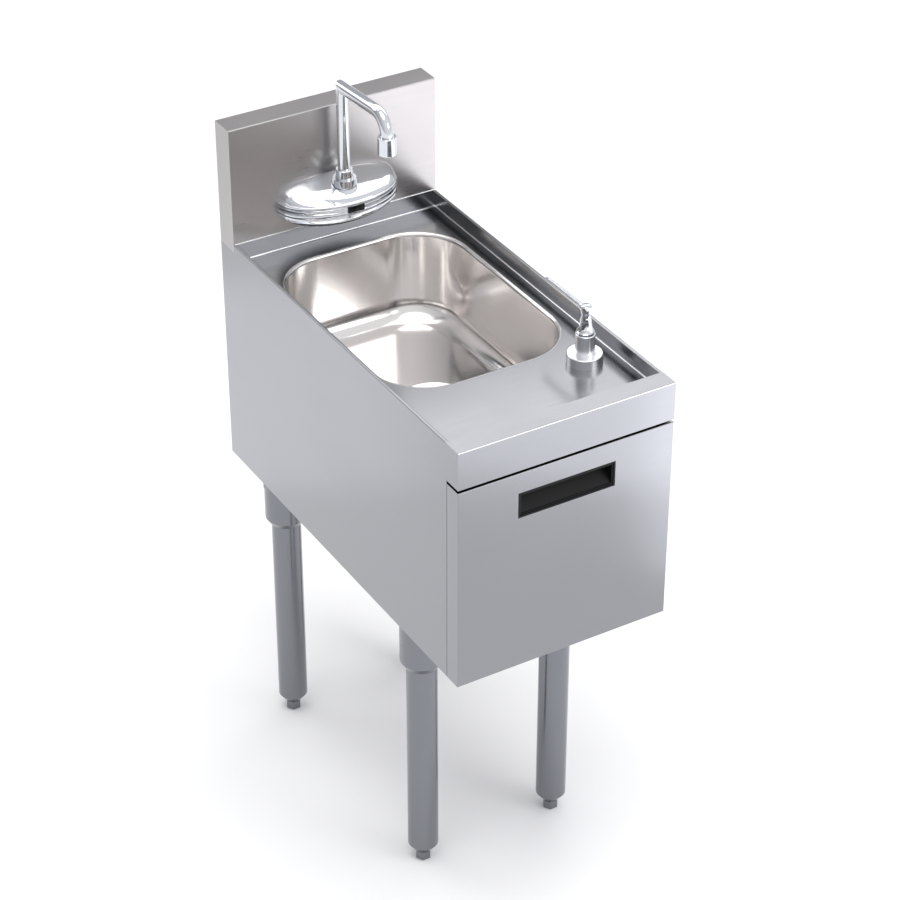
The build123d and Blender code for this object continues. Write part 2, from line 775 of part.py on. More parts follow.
# ---------------------------------------------------------------- control box, hose and cable
def make_control_box():
    """Box of the sensor valve on the rear panel, with its lid, screws and water inlet."""
    left = control_offset - control_width / 2
    right = control_offset + control_width / 2
    low_z = control_top_z - control_height
    lid_y = control_front_y + control_wall
    with BuildPart() as control_box:
        block((left, right), (lid_y, rear_panel_y), (low_z, control_top_z))
        fillet(control_box.edges().filter_by(Axis.Y), radius=5.0)
        block(
            (left + control_wall, right - control_wall),
            (lid_y, rear_panel_y - control_wall),
            (low_z + control_wall, control_top_z - control_wall),
            mode=Mode.SUBTRACT,
        )
        middle = Plane((control_offset, lid_y, control_top_z - control_height / 2), z_dir=(0, -1, 0))
        with Locations(middle):
            with GridLocations(control_width - 14.0, control_height - 14.0, 2, 2):
                Cylinder(5.0, 14.0, align=(Align.CENTER, Align.CENTER, Align.MAX))
                Hole(radius=control_screw_radius + fixed_fit, depth=11.0)
    save(control_box, "control_box")

    with BuildPart() as control_box_lid:
        block((left, right), (control_front_y, lid_y), (low_z, control_top_z))
        fillet(control_box_lid.edges().filter_by(Axis.Y), radius=5.0)
        with Locations(middle):
            with GridLocations(control_width - 14.0, control_height - 14.0, 2, 2):
                Hole(radius=control_screw_radius + fixed_fit)
        fillet(control_box_lid.faces().sort_by(Axis.Y)[0].outer_wire().edges(), radius=1.0)
    save(control_box_lid, "control_box_lid")

    with BuildPart() as control_box_screws:
        with Locations(
            Plane((control_offset, control_front_y, control_top_z - control_height / 2), z_dir=(0, -1, 0))
        ):
            with GridLocations(control_width - 14.0, control_height - 14.0, 2, 2):
                Cylinder(3.6, 2.0, align=(Align.CENTER, Align.CENTER, Align.MIN))
                Cylinder(control_screw_radius, 10.0, align=(Align.CENTER, Align.CENTER, Align.MAX))
    save(control_box_screws, "control_box_screws")

    with BuildPart() as inlet_fitting:
        stack([(low_z - inlet_length, low_z, inlet_radius)], control_offset, inlet_y)
        with BuildSketch(Plane.XY.offset(low_z - inlet_hex_height)):
            with Locations((control_offset, inlet_y)):
                RegularPolygon(inlet_across_flats / 2, 6, major_radius=False)
        extrude(amount=inlet_hex_height)
        bore(inlet_radius - 2.6, low_z - inlet_length, low_z, control_offset, inlet_y)
    save(inlet_fitting, "inlet_fitting")


def make_tube(points, radii, radius, name):
    """Round hose or cable held at both ends, of straight runs joined by arcs."""
    with BuildPart() as tube:
        with BuildLine() as route:
            FilletPolyline(*points, radius=radii)
        with BuildSketch(Plane(route.line @ 0, z_dir=route.line % 0)):
            Circle(radius)
        sweep(path=route.line)
    save(tube, name)


def make_hose_and_cable():
    """Supply hose from the elbow to the box, and the sensor's cable beside it."""
    port_z = control_top_z
    hose_x = control_offset + 18.0
    cable_x = control_offset - 22.0
    make_tube(
        [
            (0, elbow_y, shank_z - 26.0),
            (0, elbow_y, port_z + 86.0),
            (hose_x, control_port_y, port_z + 34.0),
            (hose_x, control_port_y, port_z),
        ],
        [38.0, 28.0],
        hose_radius,
        "supply_hose",
    )
    make_tube(
        [
            (cable_from_middle, splash_face_y + sheet + 0.5, shank_z),
            (cable_from_middle, splash_face_y + 16.0, shank_z),
            (cable_from_middle, splash_face_y + 16.0, port_z + 90.0),
            (cable_x, control_port_y, port_z + 36.0),
            (cable_x, control_port_y, port_z),
        ],
        [11.0, 40.0, 28.0],
        cable_radius,
        "sensor_cable",
    )


# ---------------------------------------------------------------- soap pump
def make_soap_mount():
    """Flange on the deck, threaded pump body through it, locknut below, and the domed cap."""
    flange_top = deck_z + pump_flange_height
    with BuildPart() as soap_flange:
        stack([(deck_z, flange_top, pump_flange_radius)], pump_x, pump_y)
        fillet(soap_flange.edges().filter_by(GeomType.CIRCLE).group_by(Axis.Z)[-1], radius=1.5)
        bore(pump_body_radius + fixed_fit, deck_z, flange_top, pump_x, pump_y)
    save(soap_flange, "soap_flange")

    body_top = rim_height + pump_body_top
    body_low = deck_z - pump_body_below_deck
    with BuildPart() as soap_body:
        stack(
            [
                (body_low, body_top, pump_body_radius),
                (flange_top, flange_top + 2.2, pump_body_radius + 1.2),
            ],
            pump_x,
            pump_y,
        )
        bore(pump_body_bore, body_low, body_top, pump_x, pump_y)
        outer_rims = soap_body.edges().filter_by(GeomType.CIRCLE).filter_by(
            lambda edge: edge.radius > pump_body_radius - 0.1
        )
        fillet(outer_rims.group_by(Axis.Z)[-1], radius=1.0)
    save(soap_body, "soap_body")

    nut_top = deck_z - sheet
    with BuildPart() as soap_locknut:
        with BuildSketch(Plane.XY.offset(nut_top - pump_nut_height)):
            with Locations((pump_x, pump_y)):
                RegularPolygon(pump_nut_across_flats / 2, 6, major_radius=False)
                Circle(pump_body_radius + fixed_fit, mode=Mode.SUBTRACT)
        extrude(amount=pump_nut_height)
    save(soap_locknut, "soap_locknut")

    with BuildPart() as pump_dome:
        with BuildSketch(Plane.XZ.offset(-pump_y)):
            with BuildLine():
                Polyline(
                    (pump_x + neck_radius + pump_fit, rim_height + 10.0),
                    (pump_x + pump_body_bore - fixed_fit, rim_height + 10.0),
                    (pump_x + pump_body_bore - fixed_fit, body_top),
                    (pump_x + pump_body_radius - 1.0, body_top),
                    (pump_x + pump_body_radius - 1.0, body_top + dome_band),
                    (pump_x + dome_radius, body_top + dome_band + 1.0),
                )
                ThreePointArc(
                    (pump_x + dome_radius, body_top + dome_band + 1.0),
                    (pump_x + neck_radius + 1.6, (body_top + rim_height + dome_top) / 2 + 1.0),
                    (pump_x + neck_radius + 0.5, rim_height + dome_top),
                )
                Polyline(
                    (pump_x + neck_radius + 0.5, rim_height + dome_top),
                    (pump_x + neck_radius + pump_fit, rim_height + dome_top),
                    (pump_x + neck_radius + pump_fit, rim_height + 10.0),
                )
            make_face()
        revolve(axis=Axis((pump_x, pump_y, 0), (0, 0, 1)))
    save(pump_dome, "pump_dome")


def make_pump_works():
    """Cylinder, stem and spring inside the body, and the head with its nozzle."""
    cylinder_low = deck_z - cylinder_below_deck
    cylinder_high = rim_height + cylinder_top - 3.0
    with BuildPart() as pump_cylinder:
        stack([(cylinder_low, cylinder_high, cylinder_radius)], pump_x, pump_y)
        bore(cylinder_bore, cylinder_low + 3.0, cylinder_high, pump_x, pump_y)
        bore(dip_tube_radius + fixed_fit, cylinder_low, cylinder_low + 3.0, pump_x, pump_y)
    save(pump_cylinder, "pump_cylinder")

    collar_z = deck_z - 2.0
    with BuildPart() as pump_stem:
        stack(
            [
                (collar_z - 14.0, rim_height + stem_top, stem_radius),
                (collar_z, collar_z + stem_collar_height, cylinder_bore - pump_fit),
            ],
            pump_x,
            pump_y,
        )
    save(pump_stem, "pump_stem")

    spring_low = cylinder_low + 3.0 + spring_wire + 0.05
    spring_high = collar_z - spring_wire - 0.05
    spring_height = spring_high - spring_low
    with BuildPart() as pump_spring:
        with BuildLine() as coil:
            Helix(
                pitch=spring_height / spring_turns,
                height=spring_height,
                radius=spring_radius,
                center=(pump_x, pump_y, spring_low),
            )
        with BuildSketch(Plane(coil.line @ 0, z_dir=coil.line % 0)):
            Circle(spring_wire)
        sweep(path=coil.line, is_frenet=True)
    save(pump_spring, "pump_spring")

    head_z = rim_height + head_top
    nozzle_z = rim_height + nozzle_height
    with BuildPart() as pump_head:
        stack(
            [
                (rim_height + neck_foot, head_z - head_height, neck_radius),
                (head_z - head_height, head_z, neck_radius + 0.4),
            ],
            pump_x,
            pump_y,
        )
        fillet(pump_head.edges().filter_by(GeomType.CIRCLE).group_by(Axis.Z)[-1], radius=2.5)
        with Locations(Plane((pump_x, pump_y + nozzle_reach / 2, nozzle_z), z_dir=(0, 1, 0))):
            Cone(nozzle_radius, nozzle_tip_radius, nozzle_reach)
        with Locations(Plane((pump_x, pump_y + nozzle_reach, nozzle_z), z_dir=(0, -1, 0))):
            Cylinder(
                1.5,
                nozzle_reach - neck_radius,
                align=(Align.CENTER, Align.CENTER, Align.MIN),
                mode=Mode.SUBTRACT,
            )
        bore(stem_radius + pump_fit, rim_height + neck_foot, rim_height + stem_top, pump_x, pump_y)
    save(pump_head, "pump_head")


def make_soap_bottle():
    """Bottle screwed on the pump body from below, and the tube that dips into it."""
    bottle_low = bottle_top_z - bottle_neck_height - bottle_height
    with BuildPart() as soap_bottle:
        stack(
            [
                (bottle_low, bottle_top_z - bottle_neck_height, bottle_radius),
                (bottle_top_z - bottle_neck_height, bottle_top_z, pump_body_radius + 3.0),
            ],
            pump_x,
            pump_y,
        )
        body_rims = soap_bottle.edges().filter_by(GeomType.CIRCLE).filter_by(
            lambda edge: edge.radius > bottle_radius - 0.1
        )
        fillet(body_rims, radius=6.0)
        bore(
            bottle_radius - bottle_wall,
            bottle_low + 6.0,
            bottle_top_z - bottle_neck_height - 6.0,
            pump_x,
            pump_y,
        )
        bore(
            pump_body_radius + fixed_fit,
            bottle_top_z - bottle_neck_height - 7.0,
            bottle_top_z,
            pump_x,
            pump_y,
        )
    save(soap_bottle, "soap_bottle")

    cylinder_low = deck_z - cylinder_below_deck
    with BuildPart() as dip_tube:
        stack([(bottle_low + 9.0, cylinder_low + 3.0, dip_tube_radius)], pump_x, pump_y)
        bore(dip_tube_radius - 0.8, bottle_low + 9.0, cylinder_low + 3.0, pump_x, pump_y)
    save(dip_tube, "dip_tube")


# ---------------------------------------------------------------- drawer
def make_drawer_front():
    """Folded pan that closes the cabinet below the apron, with the opening for the pull."""
    with BuildPart() as drawer_front:
        block((-half_width, half_width), (front_y, pan_back_y), (body_bottom_z, drawer_top_z))
        front_edges = drawer_front.faces().sort_by(Axis.Y)[0].edges()
        fillet(front_edges, radius=sheet)
        block(
            (-inner_x, inner_x),
            (front_y + sheet, pan_back_y),
            (body_bottom_z + sheet, drawer_top_z - sheet),
            mode=Mode.SUBTRACT,
        )
        block(
            (-pull_width / 2, pull_width / 2),
            (front_y - sheet, front_y + 2 * sheet),
            (pull_top_z - pull_height, pull_top_z),
            mode=Mode.SUBTRACT,
        )
    save(drawer_front, "drawer_front")


def make_drawer_pull():
    """Moulded cup pull: stepped frame, pocket deep at the top and sloping out to the bottom."""
    half_pull = pull_width / 2 - pull_fit
    top = pull_top_z - pull_fit
    bottom = pull_top_z - pull_height + pull_fit
    with BuildPart() as drawer_pull:
        block((-half_pull, half_pull), (front_y, front_y + pull_depth), (bottom, top))
        block(
            (-half_pull - pull_flange, half_pull + pull_flange),
            (front_y + sheet, front_y + sheet + 2.0),
            (bottom - pull_flange, top + pull_flange),
        )
        block(
            (-half_pull + pull_bezel / 2, half_pull - pull_bezel / 2),
            (front_y - 1.0, front_y + pull_step),
            (bottom + pull_bezel / 2, top - pull_bezel / 2),
            mode=Mode.SUBTRACT,
        )
        with BuildSketch(Plane.YZ.offset(-half_pull + pull_bezel)):
            with BuildLine():
                Polyline(
                    (front_y - 1.0, top - pull_bezel),
                    (front_y + pull_depth - 2.0, top - pull_bezel),
                    (front_y + pull_depth - 2.0, top - pull_bezel - 9.0),
                    (front_y + pull_step + 1.5, bottom + pull_bezel),
                    (front_y - 1.0, bottom + pull_bezel),
                    close=True,
                )
            make_face()
        extrude(amount=2 * (half_pull - pull_bezel), mode=Mode.SUBTRACT)
    save(drawer_pull, "drawer_pull")


def make_drawer_box():
    """Open-topped sheet box; its tall front wall closes the back of the drawer front."""
    wide = drawer_box_half_width
    high_z = drawer_floor_z + drawer_box_height
    with BuildPart() as drawer_box:
        block((-wide, wide), (pan_back_y - sheet, drawer_back_y), (drawer_floor_z, high_z))
        block(
            (-wide + sheet, wide - sheet),
            (pan_back_y, drawer_back_y - sheet),
            (drawer_floor_z + sheet, high_z),
            mode=Mode.SUBTRACT,
        )
        block(
            (-inner_x, inner_x),
            (pan_back_y - sheet, pan_back_y),
            (body_bottom_z + sheet, drawer_top_z - sheet),
        )
    save(drawer_box, "drawer_box")


def make_drawer_rails():
    """Fixed rails on the sides, the drawer's own rails inside them, glide pads and stud nuts."""
    rail_start = panel_front_y + hem_height + 2.0
    rail_end = drawer_back_y
    slide_start = pan_back_y + 2.0
    slide_end = drawer_back_y - slide_short
    with BuildPart() as cabinet_rails:
        for side in (-1, 1):
            face = side * inner_x
            mouth = face - side * rail_depth
            z_span = (rail_z - rail_height / 2, rail_z + rail_height / 2)
            block((face, mouth), (rail_start, rail_end), z_span)
            block(
                (face - side * rail_wall, mouth),
                (rail_start, rail_end),
                (z_span[0] + rail_wall, z_span[1] - rail_wall),
                mode=Mode.SUBTRACT,
            )
    save(cabinet_rails, "cabinet_rails")

    with BuildPart() as drawer_rails:
        for side in (-1, 1):
            face = side * drawer_box_half_width
            mouth = face + side * slide_depth
            z_span = (rail_z - slide_height / 2, rail_z + slide_height / 2)
            block((face, mouth), (slide_start, slide_end), z_span)
            block(
                (face + side * rail_wall, mouth),
                (slide_start, slide_end),
                (z_span[0] + rail_wall, z_span[1] - rail_wall),
                mode=Mode.SUBTRACT,
            )
    save(drawer_rails, "drawer_rails")

    pad_height = (rail_height - 2 * rail_wall - slide_height) / 2 - glide_fit
    pad_middle_x = drawer_box_half_width + slide_depth - glide_width / 2 - 0.5
    pad_y = (slide_end - glide_length / 2, rail_start + glide_length / 2 + 4.0)
    with BuildPart() as drawer_glides:
        for side in (-1, 1):
            for y in pad_y:
                for up in (-1, 1):
                    pad_z = rail_z + up * (slide_height + pad_height) / 2
                    with Locations((side * pad_middle_x, y, pad_z)):
                        Box(glide_width, glide_length, pad_height)
    save(drawer_glides, "drawer_glides")

    with BuildPart() as rail_stud_nuts:
        for side in (-1, 1):
            for y in (rail_start + 60.0, rail_end - 40.0):
                nut_face = side * (inner_x - rail_wall)
                with Locations(Plane((nut_face, y, rail_z), z_dir=(-side, 0, 0))):
                    Cylinder(3.6, 1.4, align=(Align.CENTER, Align.CENTER, Align.MIN))
    save(rail_stud_nuts, "rail_stud_nuts")


make_deck_pan()
make_side_panel(-1, "left_side_panel")
make_side_panel(1, "right_side_panel")
make_backsplash()
make_rear_panel()
for row in leg_y:
    make_channel(row)
for place, (x, y) in leg_places.items():
    make_leg_set(place, x, y)
make_leg_hardware()
make_sink_bowl()
make_drain()
make_faucet_body()
make_sensor_window()
make_spout()
make_faucet_fixings()
make_control_box()
make_hose_and_cable()
make_soap_mount()
make_pump_works()
make_soap_bottle()
make_drawer_front()
make_drawer_pull()
make_drawer_box()
make_drawer_rails()
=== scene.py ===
# %% [markdown]
# # A narrow stainless hand sink, dressed in Blender
#
# The shape comes from a CAD model, piece by piece, and stays fixed. This notebook gives every
# piece the finish of the real thing, replaces a few simple CAD solids with finer meshes, and
# sets a soft studio round it. All lengths are metres unless a name says millimetres.

# %% Load the fixed frame
import bpy
import bmesh
import math
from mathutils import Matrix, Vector


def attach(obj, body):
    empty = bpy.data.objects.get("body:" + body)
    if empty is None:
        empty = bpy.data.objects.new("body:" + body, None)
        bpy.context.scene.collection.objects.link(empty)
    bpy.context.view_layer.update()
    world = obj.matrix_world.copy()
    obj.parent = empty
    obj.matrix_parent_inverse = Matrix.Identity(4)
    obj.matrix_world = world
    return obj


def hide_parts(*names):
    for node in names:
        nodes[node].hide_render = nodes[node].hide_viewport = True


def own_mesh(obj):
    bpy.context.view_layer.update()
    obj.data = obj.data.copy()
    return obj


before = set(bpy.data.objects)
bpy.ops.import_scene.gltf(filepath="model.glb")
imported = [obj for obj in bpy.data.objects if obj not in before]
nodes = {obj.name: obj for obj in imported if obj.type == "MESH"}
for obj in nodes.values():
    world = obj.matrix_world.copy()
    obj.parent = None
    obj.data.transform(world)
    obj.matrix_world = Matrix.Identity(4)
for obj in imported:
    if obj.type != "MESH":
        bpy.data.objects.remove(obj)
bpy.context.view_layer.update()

# %% [markdown]
# ## Colours
# A swatch is written as an sRGB hex value, which is spaced to suit the eye. Shaders add and multiply
# light, so they need linear numbers. One function turns the first into the second, and every colour
# below goes through it.

# %% Hex to linear colour
def linear(hex_colour, alpha=1.0):
    """sRGB hex text to a linear colour with alpha."""
    channels = [int(hex_colour[i:i + 2], 16) / 255 for i in (1, 3, 5)]
    return [c / 12.92 if c <= 0.04045 else ((c + 0.055) / 1.055) ** 2.4 for c in channels] + [alpha]


print("sRGB mid grey in linear light:", round(linear("#808080")[0], 3))

# %% [markdown]
# ## Nodes
# A material is a small graph of nodes. Each one could be made in four or five lines, but a material
# then grows too long to read. One function adds a node with its settings, values and links, so that
# each material becomes a short list of steps. Patterns are placed in object coordinates, because
# those follow the CAD frame, and are scaled from a real size in millimetres.

# %% Node and material helpers
def add_node(tree, kind, links=None, values=None, **settings):
    """Add one shader node: settings are its properties, values fill sockets, links feed them."""
    node = tree.nodes.new(kind)
    for key, value in settings.items():
        setattr(node, key, value)
    for socket, value in (values or {}).items():
        node.inputs[socket].default_value = value
    for socket, source in (links or {}).items():
        tree.links.new(source, node.inputs[socket])
    return node


def start_material(name, colour, metallic, roughness):
    """A material with its Principled shader set to the plain values of the real surface."""
    material = bpy.data.materials.new(name)
    material.use_nodes = True
    shader = material.node_tree.nodes["Principled BSDF"]
    shader.inputs["Base Color"].default_value = linear(colour)
    shader.inputs["Metallic"].default_value = metallic
    shader.inputs["Roughness"].default_value = roughness
    return material, material.node_tree, shader


def object_coordinates(tree, feature_mm):
    """Object coordinates scaled so that one unit is one feature of the given size on X, Y, Z."""
    place = add_node(tree, "ShaderNodeTexCoord")
    scale = [1000.0 / size for size in feature_mm]
    return add_node(
        tree, "ShaderNodeMapping", {"Vector": place.outputs["Object"]}, {"Scale": scale}
    ).outputs["Vector"]


print("a 2 mm feature is scaled by", 1000.0 / 2)

# %% [markdown]
# ## Meshes
# Every new piece here starts as a list of points and a list of faces, because then its sizes are
# plain numbers. The helper merges doubled points, turns all faces outwards, and shades the surface
# smooth except across edges that meet more sharply than an angle.

# %% Points and faces to an object
MM = 0.001
merge_distance = 1e-6


def mesh_object(name, points, faces, smooth_angle=35.0):
    """An object from points and faces, smooth except at edges sharper than the angle."""
    mesh = bpy.data.meshes.new(name)
    mesh.from_pydata([tuple(p) for p in points], [], faces)
    mesh.validate()
    work = bmesh.new()
    work.from_mesh(mesh)
    bmesh.ops.remove_doubles(work, verts=work.verts, dist=merge_distance)
    bmesh.ops.recalc_face_normals(work, faces=work.faces)
    work.to_mesh(mesh)
    work.free()
    mesh.shade_smooth()
    mesh.set_sharp_from_angle(angle=math.radians(smooth_angle))
    piece = bpy.data.objects.new(name, mesh)
    bpy.context.scene.collection.objects.link(piece)
    return piece


print("points closer than", merge_distance, "m are merged")

# %% [markdown]
# ## Camera
# A tall, narrow thing is best seen from above one front corner through a long lens, which keeps
# its upright edges nearly parallel. A short lens from nearby would make the legs lean together.
# The camera stands 2.5 m up and looks down by about 34 degrees.

# %% Camera
camera_place = Vector((-1.48253, -2.53125, 2.50167))
looking_along = Vector((0.42476416, 0.7168418, -0.55291342))
camera_data = bpy.data.cameras.new("studio_camera")
camera_data.sensor_width = 36.0
camera_data.lens = 108.116
camera_data.clip_end = 60.0
camera = bpy.data.objects.new("studio_camera", camera_data)
camera.location = camera_place
camera.rotation_euler = looking_along.to_track_quat("-Z", "Y").to_euler()
bpy.context.scene.collection.objects.link(camera)
bpy.context.scene.camera = camera
print("camera", round(camera_place.length, 2), "m from the origin, lens", camera_data.lens, "mm")

# %% [markdown]
# ## Studio floor
# A studio floor is a wide roll of matt paper. A plane could be left plain, but paper has a faint
# tooth that a plain plane lacks, so a shallow noise bump gives it one.

# %% Floor
floor_half = 14.0
paper_tooth_mm = 3
floor = mesh_object(
    "studio_floor",
    [
        (-floor_half, -floor_half, 0), (floor_half, -floor_half, 0),
        (floor_half, floor_half, 0), (-floor_half, floor_half, 0),
    ],
    [(0, 1, 2, 3)],
)
paper, paper_tree, paper_shader = start_material("seamless_paper_floor", "#F4F4F4", 0.0, 0.75)
paper_shader.inputs["Specular IOR Level"].default_value = 0.15
tooth = add_node(
    paper_tree, "ShaderNodeTexNoise",
    {"Vector": object_coordinates(paper_tree, [paper_tooth_mm] * 3)},
    {"Scale": 1.0, "Detail": 3.0},
)
paper_bump = add_node(
    paper_tree, "ShaderNodeBump",
    {"Height": tooth.outputs["Fac"]}, {"Strength": 0.05, "Distance": 0.0003},
)
paper_tree.links.new(paper_bump.outputs["Normal"], paper_shader.inputs["Normal"])
floor.data.materials.append(paper)
print("floor", 2 * floor_half, "m wide")

# %% [markdown]
# ## Sky
# Polished steel has hardly any colour of its own: what it shows is the room. So the room is the
# most important material here. One flat grey would make the steel look like plastic. This sky is
# soft grey behind the sink and brighter in front, above and to its right, blended by direction.

# %% Sky
bright_side = (0.35, -0.75, 0.55)
world = bpy.data.worlds.new("studio_sky")
world.use_nodes = True
bpy.context.scene.world = world
sky = world.node_tree
sky_direction = add_node(sky, "ShaderNodeTexCoord")
sky_front = add_node(
    sky, "ShaderNodeVectorMath", {0: sky_direction.outputs["Generated"]},
    {1: bright_side}, operation="DOT_PRODUCT",
)
sky_share = add_node(
    sky, "ShaderNodeMapRange",
    {"Value": sky_front.outputs["Value"]}, {"From Min": -0.6, "From Max": 0.8},
)
sky_ramp = add_node(sky, "ShaderNodeValToRGB", {"Fac": sky_share.outputs["Result"]})
sky_ramp.color_ramp.elements[0].color = linear("#A2A3A8")
sky_ramp.color_ramp.elements[1].color = linear("#F2F2F5")
sky_light = sky.nodes["Background"]
sky_light.inputs["Strength"].default_value = 1.0
sky.links.new(sky_ramp.outputs["Color"], sky_light.inputs["Color"])
print("the sky is brightest towards", bright_side)

# %% [markdown]
# ## Lamps
# Metal is lit with large soft boxes, set where each face would mirror them, because a small lamp
# shows in steel as a hard spot. Each box here is given by how bright its face looks, so its size
# can change and its reflection stays as bright. One broad sun from above lights the whole.

# %% Lamps
def soft_box(name, place, target, size, radiance, colour="#FFFFFF"):
    """A rectangular soft box aimed at a target, set by how bright its face looks."""
    data = bpy.data.lights.new(name, "AREA")
    data.shape = "RECTANGLE"
    data.size, data.size_y = size
    data.energy = radiance * math.pi * size[0] * size[1]
    data.color = linear(colour)[:3]
    lamp = bpy.data.objects.new(name, data)
    lamp.location = place
    lamp.rotation_euler = (Vector(target) - Vector(place)).to_track_quat("-Z", "Y").to_euler()
    lamp.visible_camera = False
    bpy.context.scene.collection.objects.link(lamp)


soft_box("deck_softbox", (0.40, 0.46, 1.32), (0.40, 0.46, 0.0), (1.1, 0.42), 1.6)
soft_box("front_right_softbox", (1.9, -3.2, 2.9), (0, 0, 0.75), (1.6, 1.4), 2.9)
soft_box(
    "low_right_softbox", (0.72, -0.62, 0.38), (0.12, 0.2667, 0.86), (0.62, 0.5), 0.8, "#F4F4FF",
)
soft_box(
    "rear_left_softbox", (-0.44, 0.82, 0.17), (-0.1524, 0.34, 0.54), (0.62, 0.34), 0.28, "#F6F8FF",
)
soft_box(
    "front_low_softbox", (0.42, -0.76, 0.52), (0.03, -0.3048, 0.74), (1.1, 0.44), 0.85, "#F6F6FF",
)
soft_box("rear_left_high_softbox", (-1.05, 1.95, 2.2), (0, 0, 0.76), (1.5, 1.3), 1.5)
sun_data = bpy.data.lights.new("key_light", "SUN")
sun_data.energy = 1.25
sun_data.angle = math.radians(40.0)
sun = bpy.data.objects.new("key_light", sun_data)
sun.rotation_euler = Vector((0.10, 0.20, -0.97)).to_track_quat("-Z", "Y").to_euler()
bpy.context.scene.collection.objects.link(sun)
bpy.context.scene.view_settings.view_transform = "Standard"
bpy.context.scene.view_settings.look = "None"

# %% [markdown]
# ## Brushed stainless sheet
# The cabinet is folded from austenitic stainless sheet with a number 4 finish: it is sanded by belts
# in one direction before it is cut, so every panel has fine parallel scratches, and reflections
# smear across them. An image texture would need unwrapping at every fold, so the grain is made from
# noise that is stretched 100 times along the sanding direction. It drives the roughness and a very
# shallow bump. Broad, faint clouds on top are what wiping leaves behind.

# %% Brushed stainless material
grain_pitch_mm = 0.9     # real belt grain is near 0.1 mm; this is as fine as still shows here
grain_length_mm = 90.0
cloud_mm = 140.0
noise_range = {"From Min": 0.3, "From Max": 0.7}     # most of a noise texture lies in here


def brushed_stainless(name, along, colour="#999A9D", roughness=0.20, bump=0.03):
    """Number 4 sheet whose grain runs along the X, Y or Z axis."""
    material, tree, shader = start_material(name, colour, 1.0, roughness)
    feature = [grain_pitch_mm] * 3
    feature["XYZ".index(along)] = grain_length_mm
    grain = add_node(
        tree, "ShaderNodeTexNoise", {"Vector": object_coordinates(tree, feature)},
        {"Scale": 1.0, "Detail": 4.0, "Roughness": 0.65},
    )
    cloud = add_node(
        tree, "ShaderNodeTexNoise", {"Vector": object_coordinates(tree, [cloud_mm] * 3)},
        {"Scale": 1.0, "Detail": 5.0, "Roughness": 0.55},
    )
    fine = add_node(
        tree, "ShaderNodeMapRange", {"Value": grain.outputs["Fac"]},
        {**noise_range, "To Min": roughness - 0.025, "To Max": roughness + 0.025},
    )
    wiped = add_node(
        tree, "ShaderNodeMapRange", {"Value": cloud.outputs["Fac"]},
        {**noise_range, "To Min": -0.02, "To Max": 0.03},
    )
    total = add_node(
        tree, "ShaderNodeMath", operation="ADD",
        links={0: fine.outputs["Result"], 1: wiped.outputs["Result"]},
    )
    tree.links.new(total.outputs["Value"], shader.inputs["Roughness"])
    tone = add_node(tree, "ShaderNodeMix", {"Factor": grain.outputs["Fac"]}, data_type="RGBA")
    tone.inputs["A"].default_value = linear(colour)
    tone.inputs["B"].default_value = [c * 0.97 for c in linear(colour)[:3]] + [1.0]
    tree.links.new(tone.outputs["Result"], shader.inputs["Base Color"])
    scratches = add_node(
        tree, "ShaderNodeBump", {"Height": grain.outputs["Fac"]},
        {"Strength": bump, "Distance": 0.00008},
    )
    tree.links.new(scratches.outputs["Normal"], shader.inputs["Normal"])
    return material


sheet_along_x = brushed_stainless("stainless_no4_grain_across", "X")
sheet_along_y = brushed_stainless("stainless_no4_grain_lengthwise", "Y")
drawn_bowl = brushed_stainless("stainless_drawn_and_polished", "Z", "#E6E3E1", 0.16, 0.02)
splash_sheet = brushed_stainless("stainless_no4_splash", "X", "#B0ADAC", 0.30, 0.006)
# Painted highlight: this copy of the sheet is far lighter (#F1F1F2 against #999A9D), so the thin
# strips along the folds, the weld and the front bend show as bright lines.
bend_highlight_sheet = brushed_stainless("stainless_painted_bend_highlight", "X", "#F1F1F2", 0.24, 0.01)
satin_tube = brushed_stainless("stainless_satin_tube", "Z", "#84868B", 0.21, 0.05)
turned_steel = brushed_stainless("stainless_turned", "X", "#F2F3F5", 0.28, 0.02)
print("brushed materials", [m.name for m in bpy.data.materials if m.name.startswith("stainless")])

# %% [markdown]
# ## Chrome
# The faucet is brass under nickel and chrome: a hard mirror with a faintly blue tone. A perfect
# mirror looks drawn, because the only flaws a real one has are missing: soft waves left by buffing
# and a few dried drops. Wide noise makes the waves and finer noise the haze of the drops.

# %% Chrome
buffing_wave_mm, dried_drop_mm = 18, 4


def chrome_plate(name, colour, roughness):
    """Buffed and plated metal: mirror with slight waviness and dried-water haze."""
    material, tree, shader = start_material(name, colour, 1.0, roughness)
    waves = add_node(
        tree, "ShaderNodeTexNoise", {"Vector": object_coordinates(tree, [buffing_wave_mm] * 3)},
        {"Scale": 1.0, "Detail": 1.0},
    )
    haze = add_node(
        tree, "ShaderNodeTexNoise", {"Vector": object_coordinates(tree, [dried_drop_mm] * 3)},
        {"Scale": 1.0, "Detail": 4.0},
    )
    film = add_node(
        tree, "ShaderNodeMapRange", {"Value": haze.outputs["Fac"]},
        {"From Min": 0.45, "From Max": 0.75, "To Min": roughness, "To Max": roughness + 0.05},
    )
    tree.links.new(film.outputs["Result"], shader.inputs["Roughness"])
    buffed = add_node(
        tree, "ShaderNodeBump",
        {"Height": waves.outputs["Fac"]}, {"Strength": 0.06, "Distance": 0.0005},
    )
    tree.links.new(buffed.outputs["Normal"], shader.inputs["Normal"])
    return material


chrome = chrome_plate("chrome_on_brass", "#DFE2E6", 0.06)
print("chrome waves", buffing_wave_mm, "mm, drops", dried_drop_mm, "mm")

# %% [markdown]
# ## Plastics, rubber, brass and zinc
# The pull is black ABS from a mould with a fine spark texture. The pump's works are white acetal,
# the bottle is blow-moulded polyethylene, and the hidden fittings are turned brass or zinc-plated
# steel. Each has an even grain of its own size, so one function makes them all from the colour,
# the gloss and the grain of the real surface.

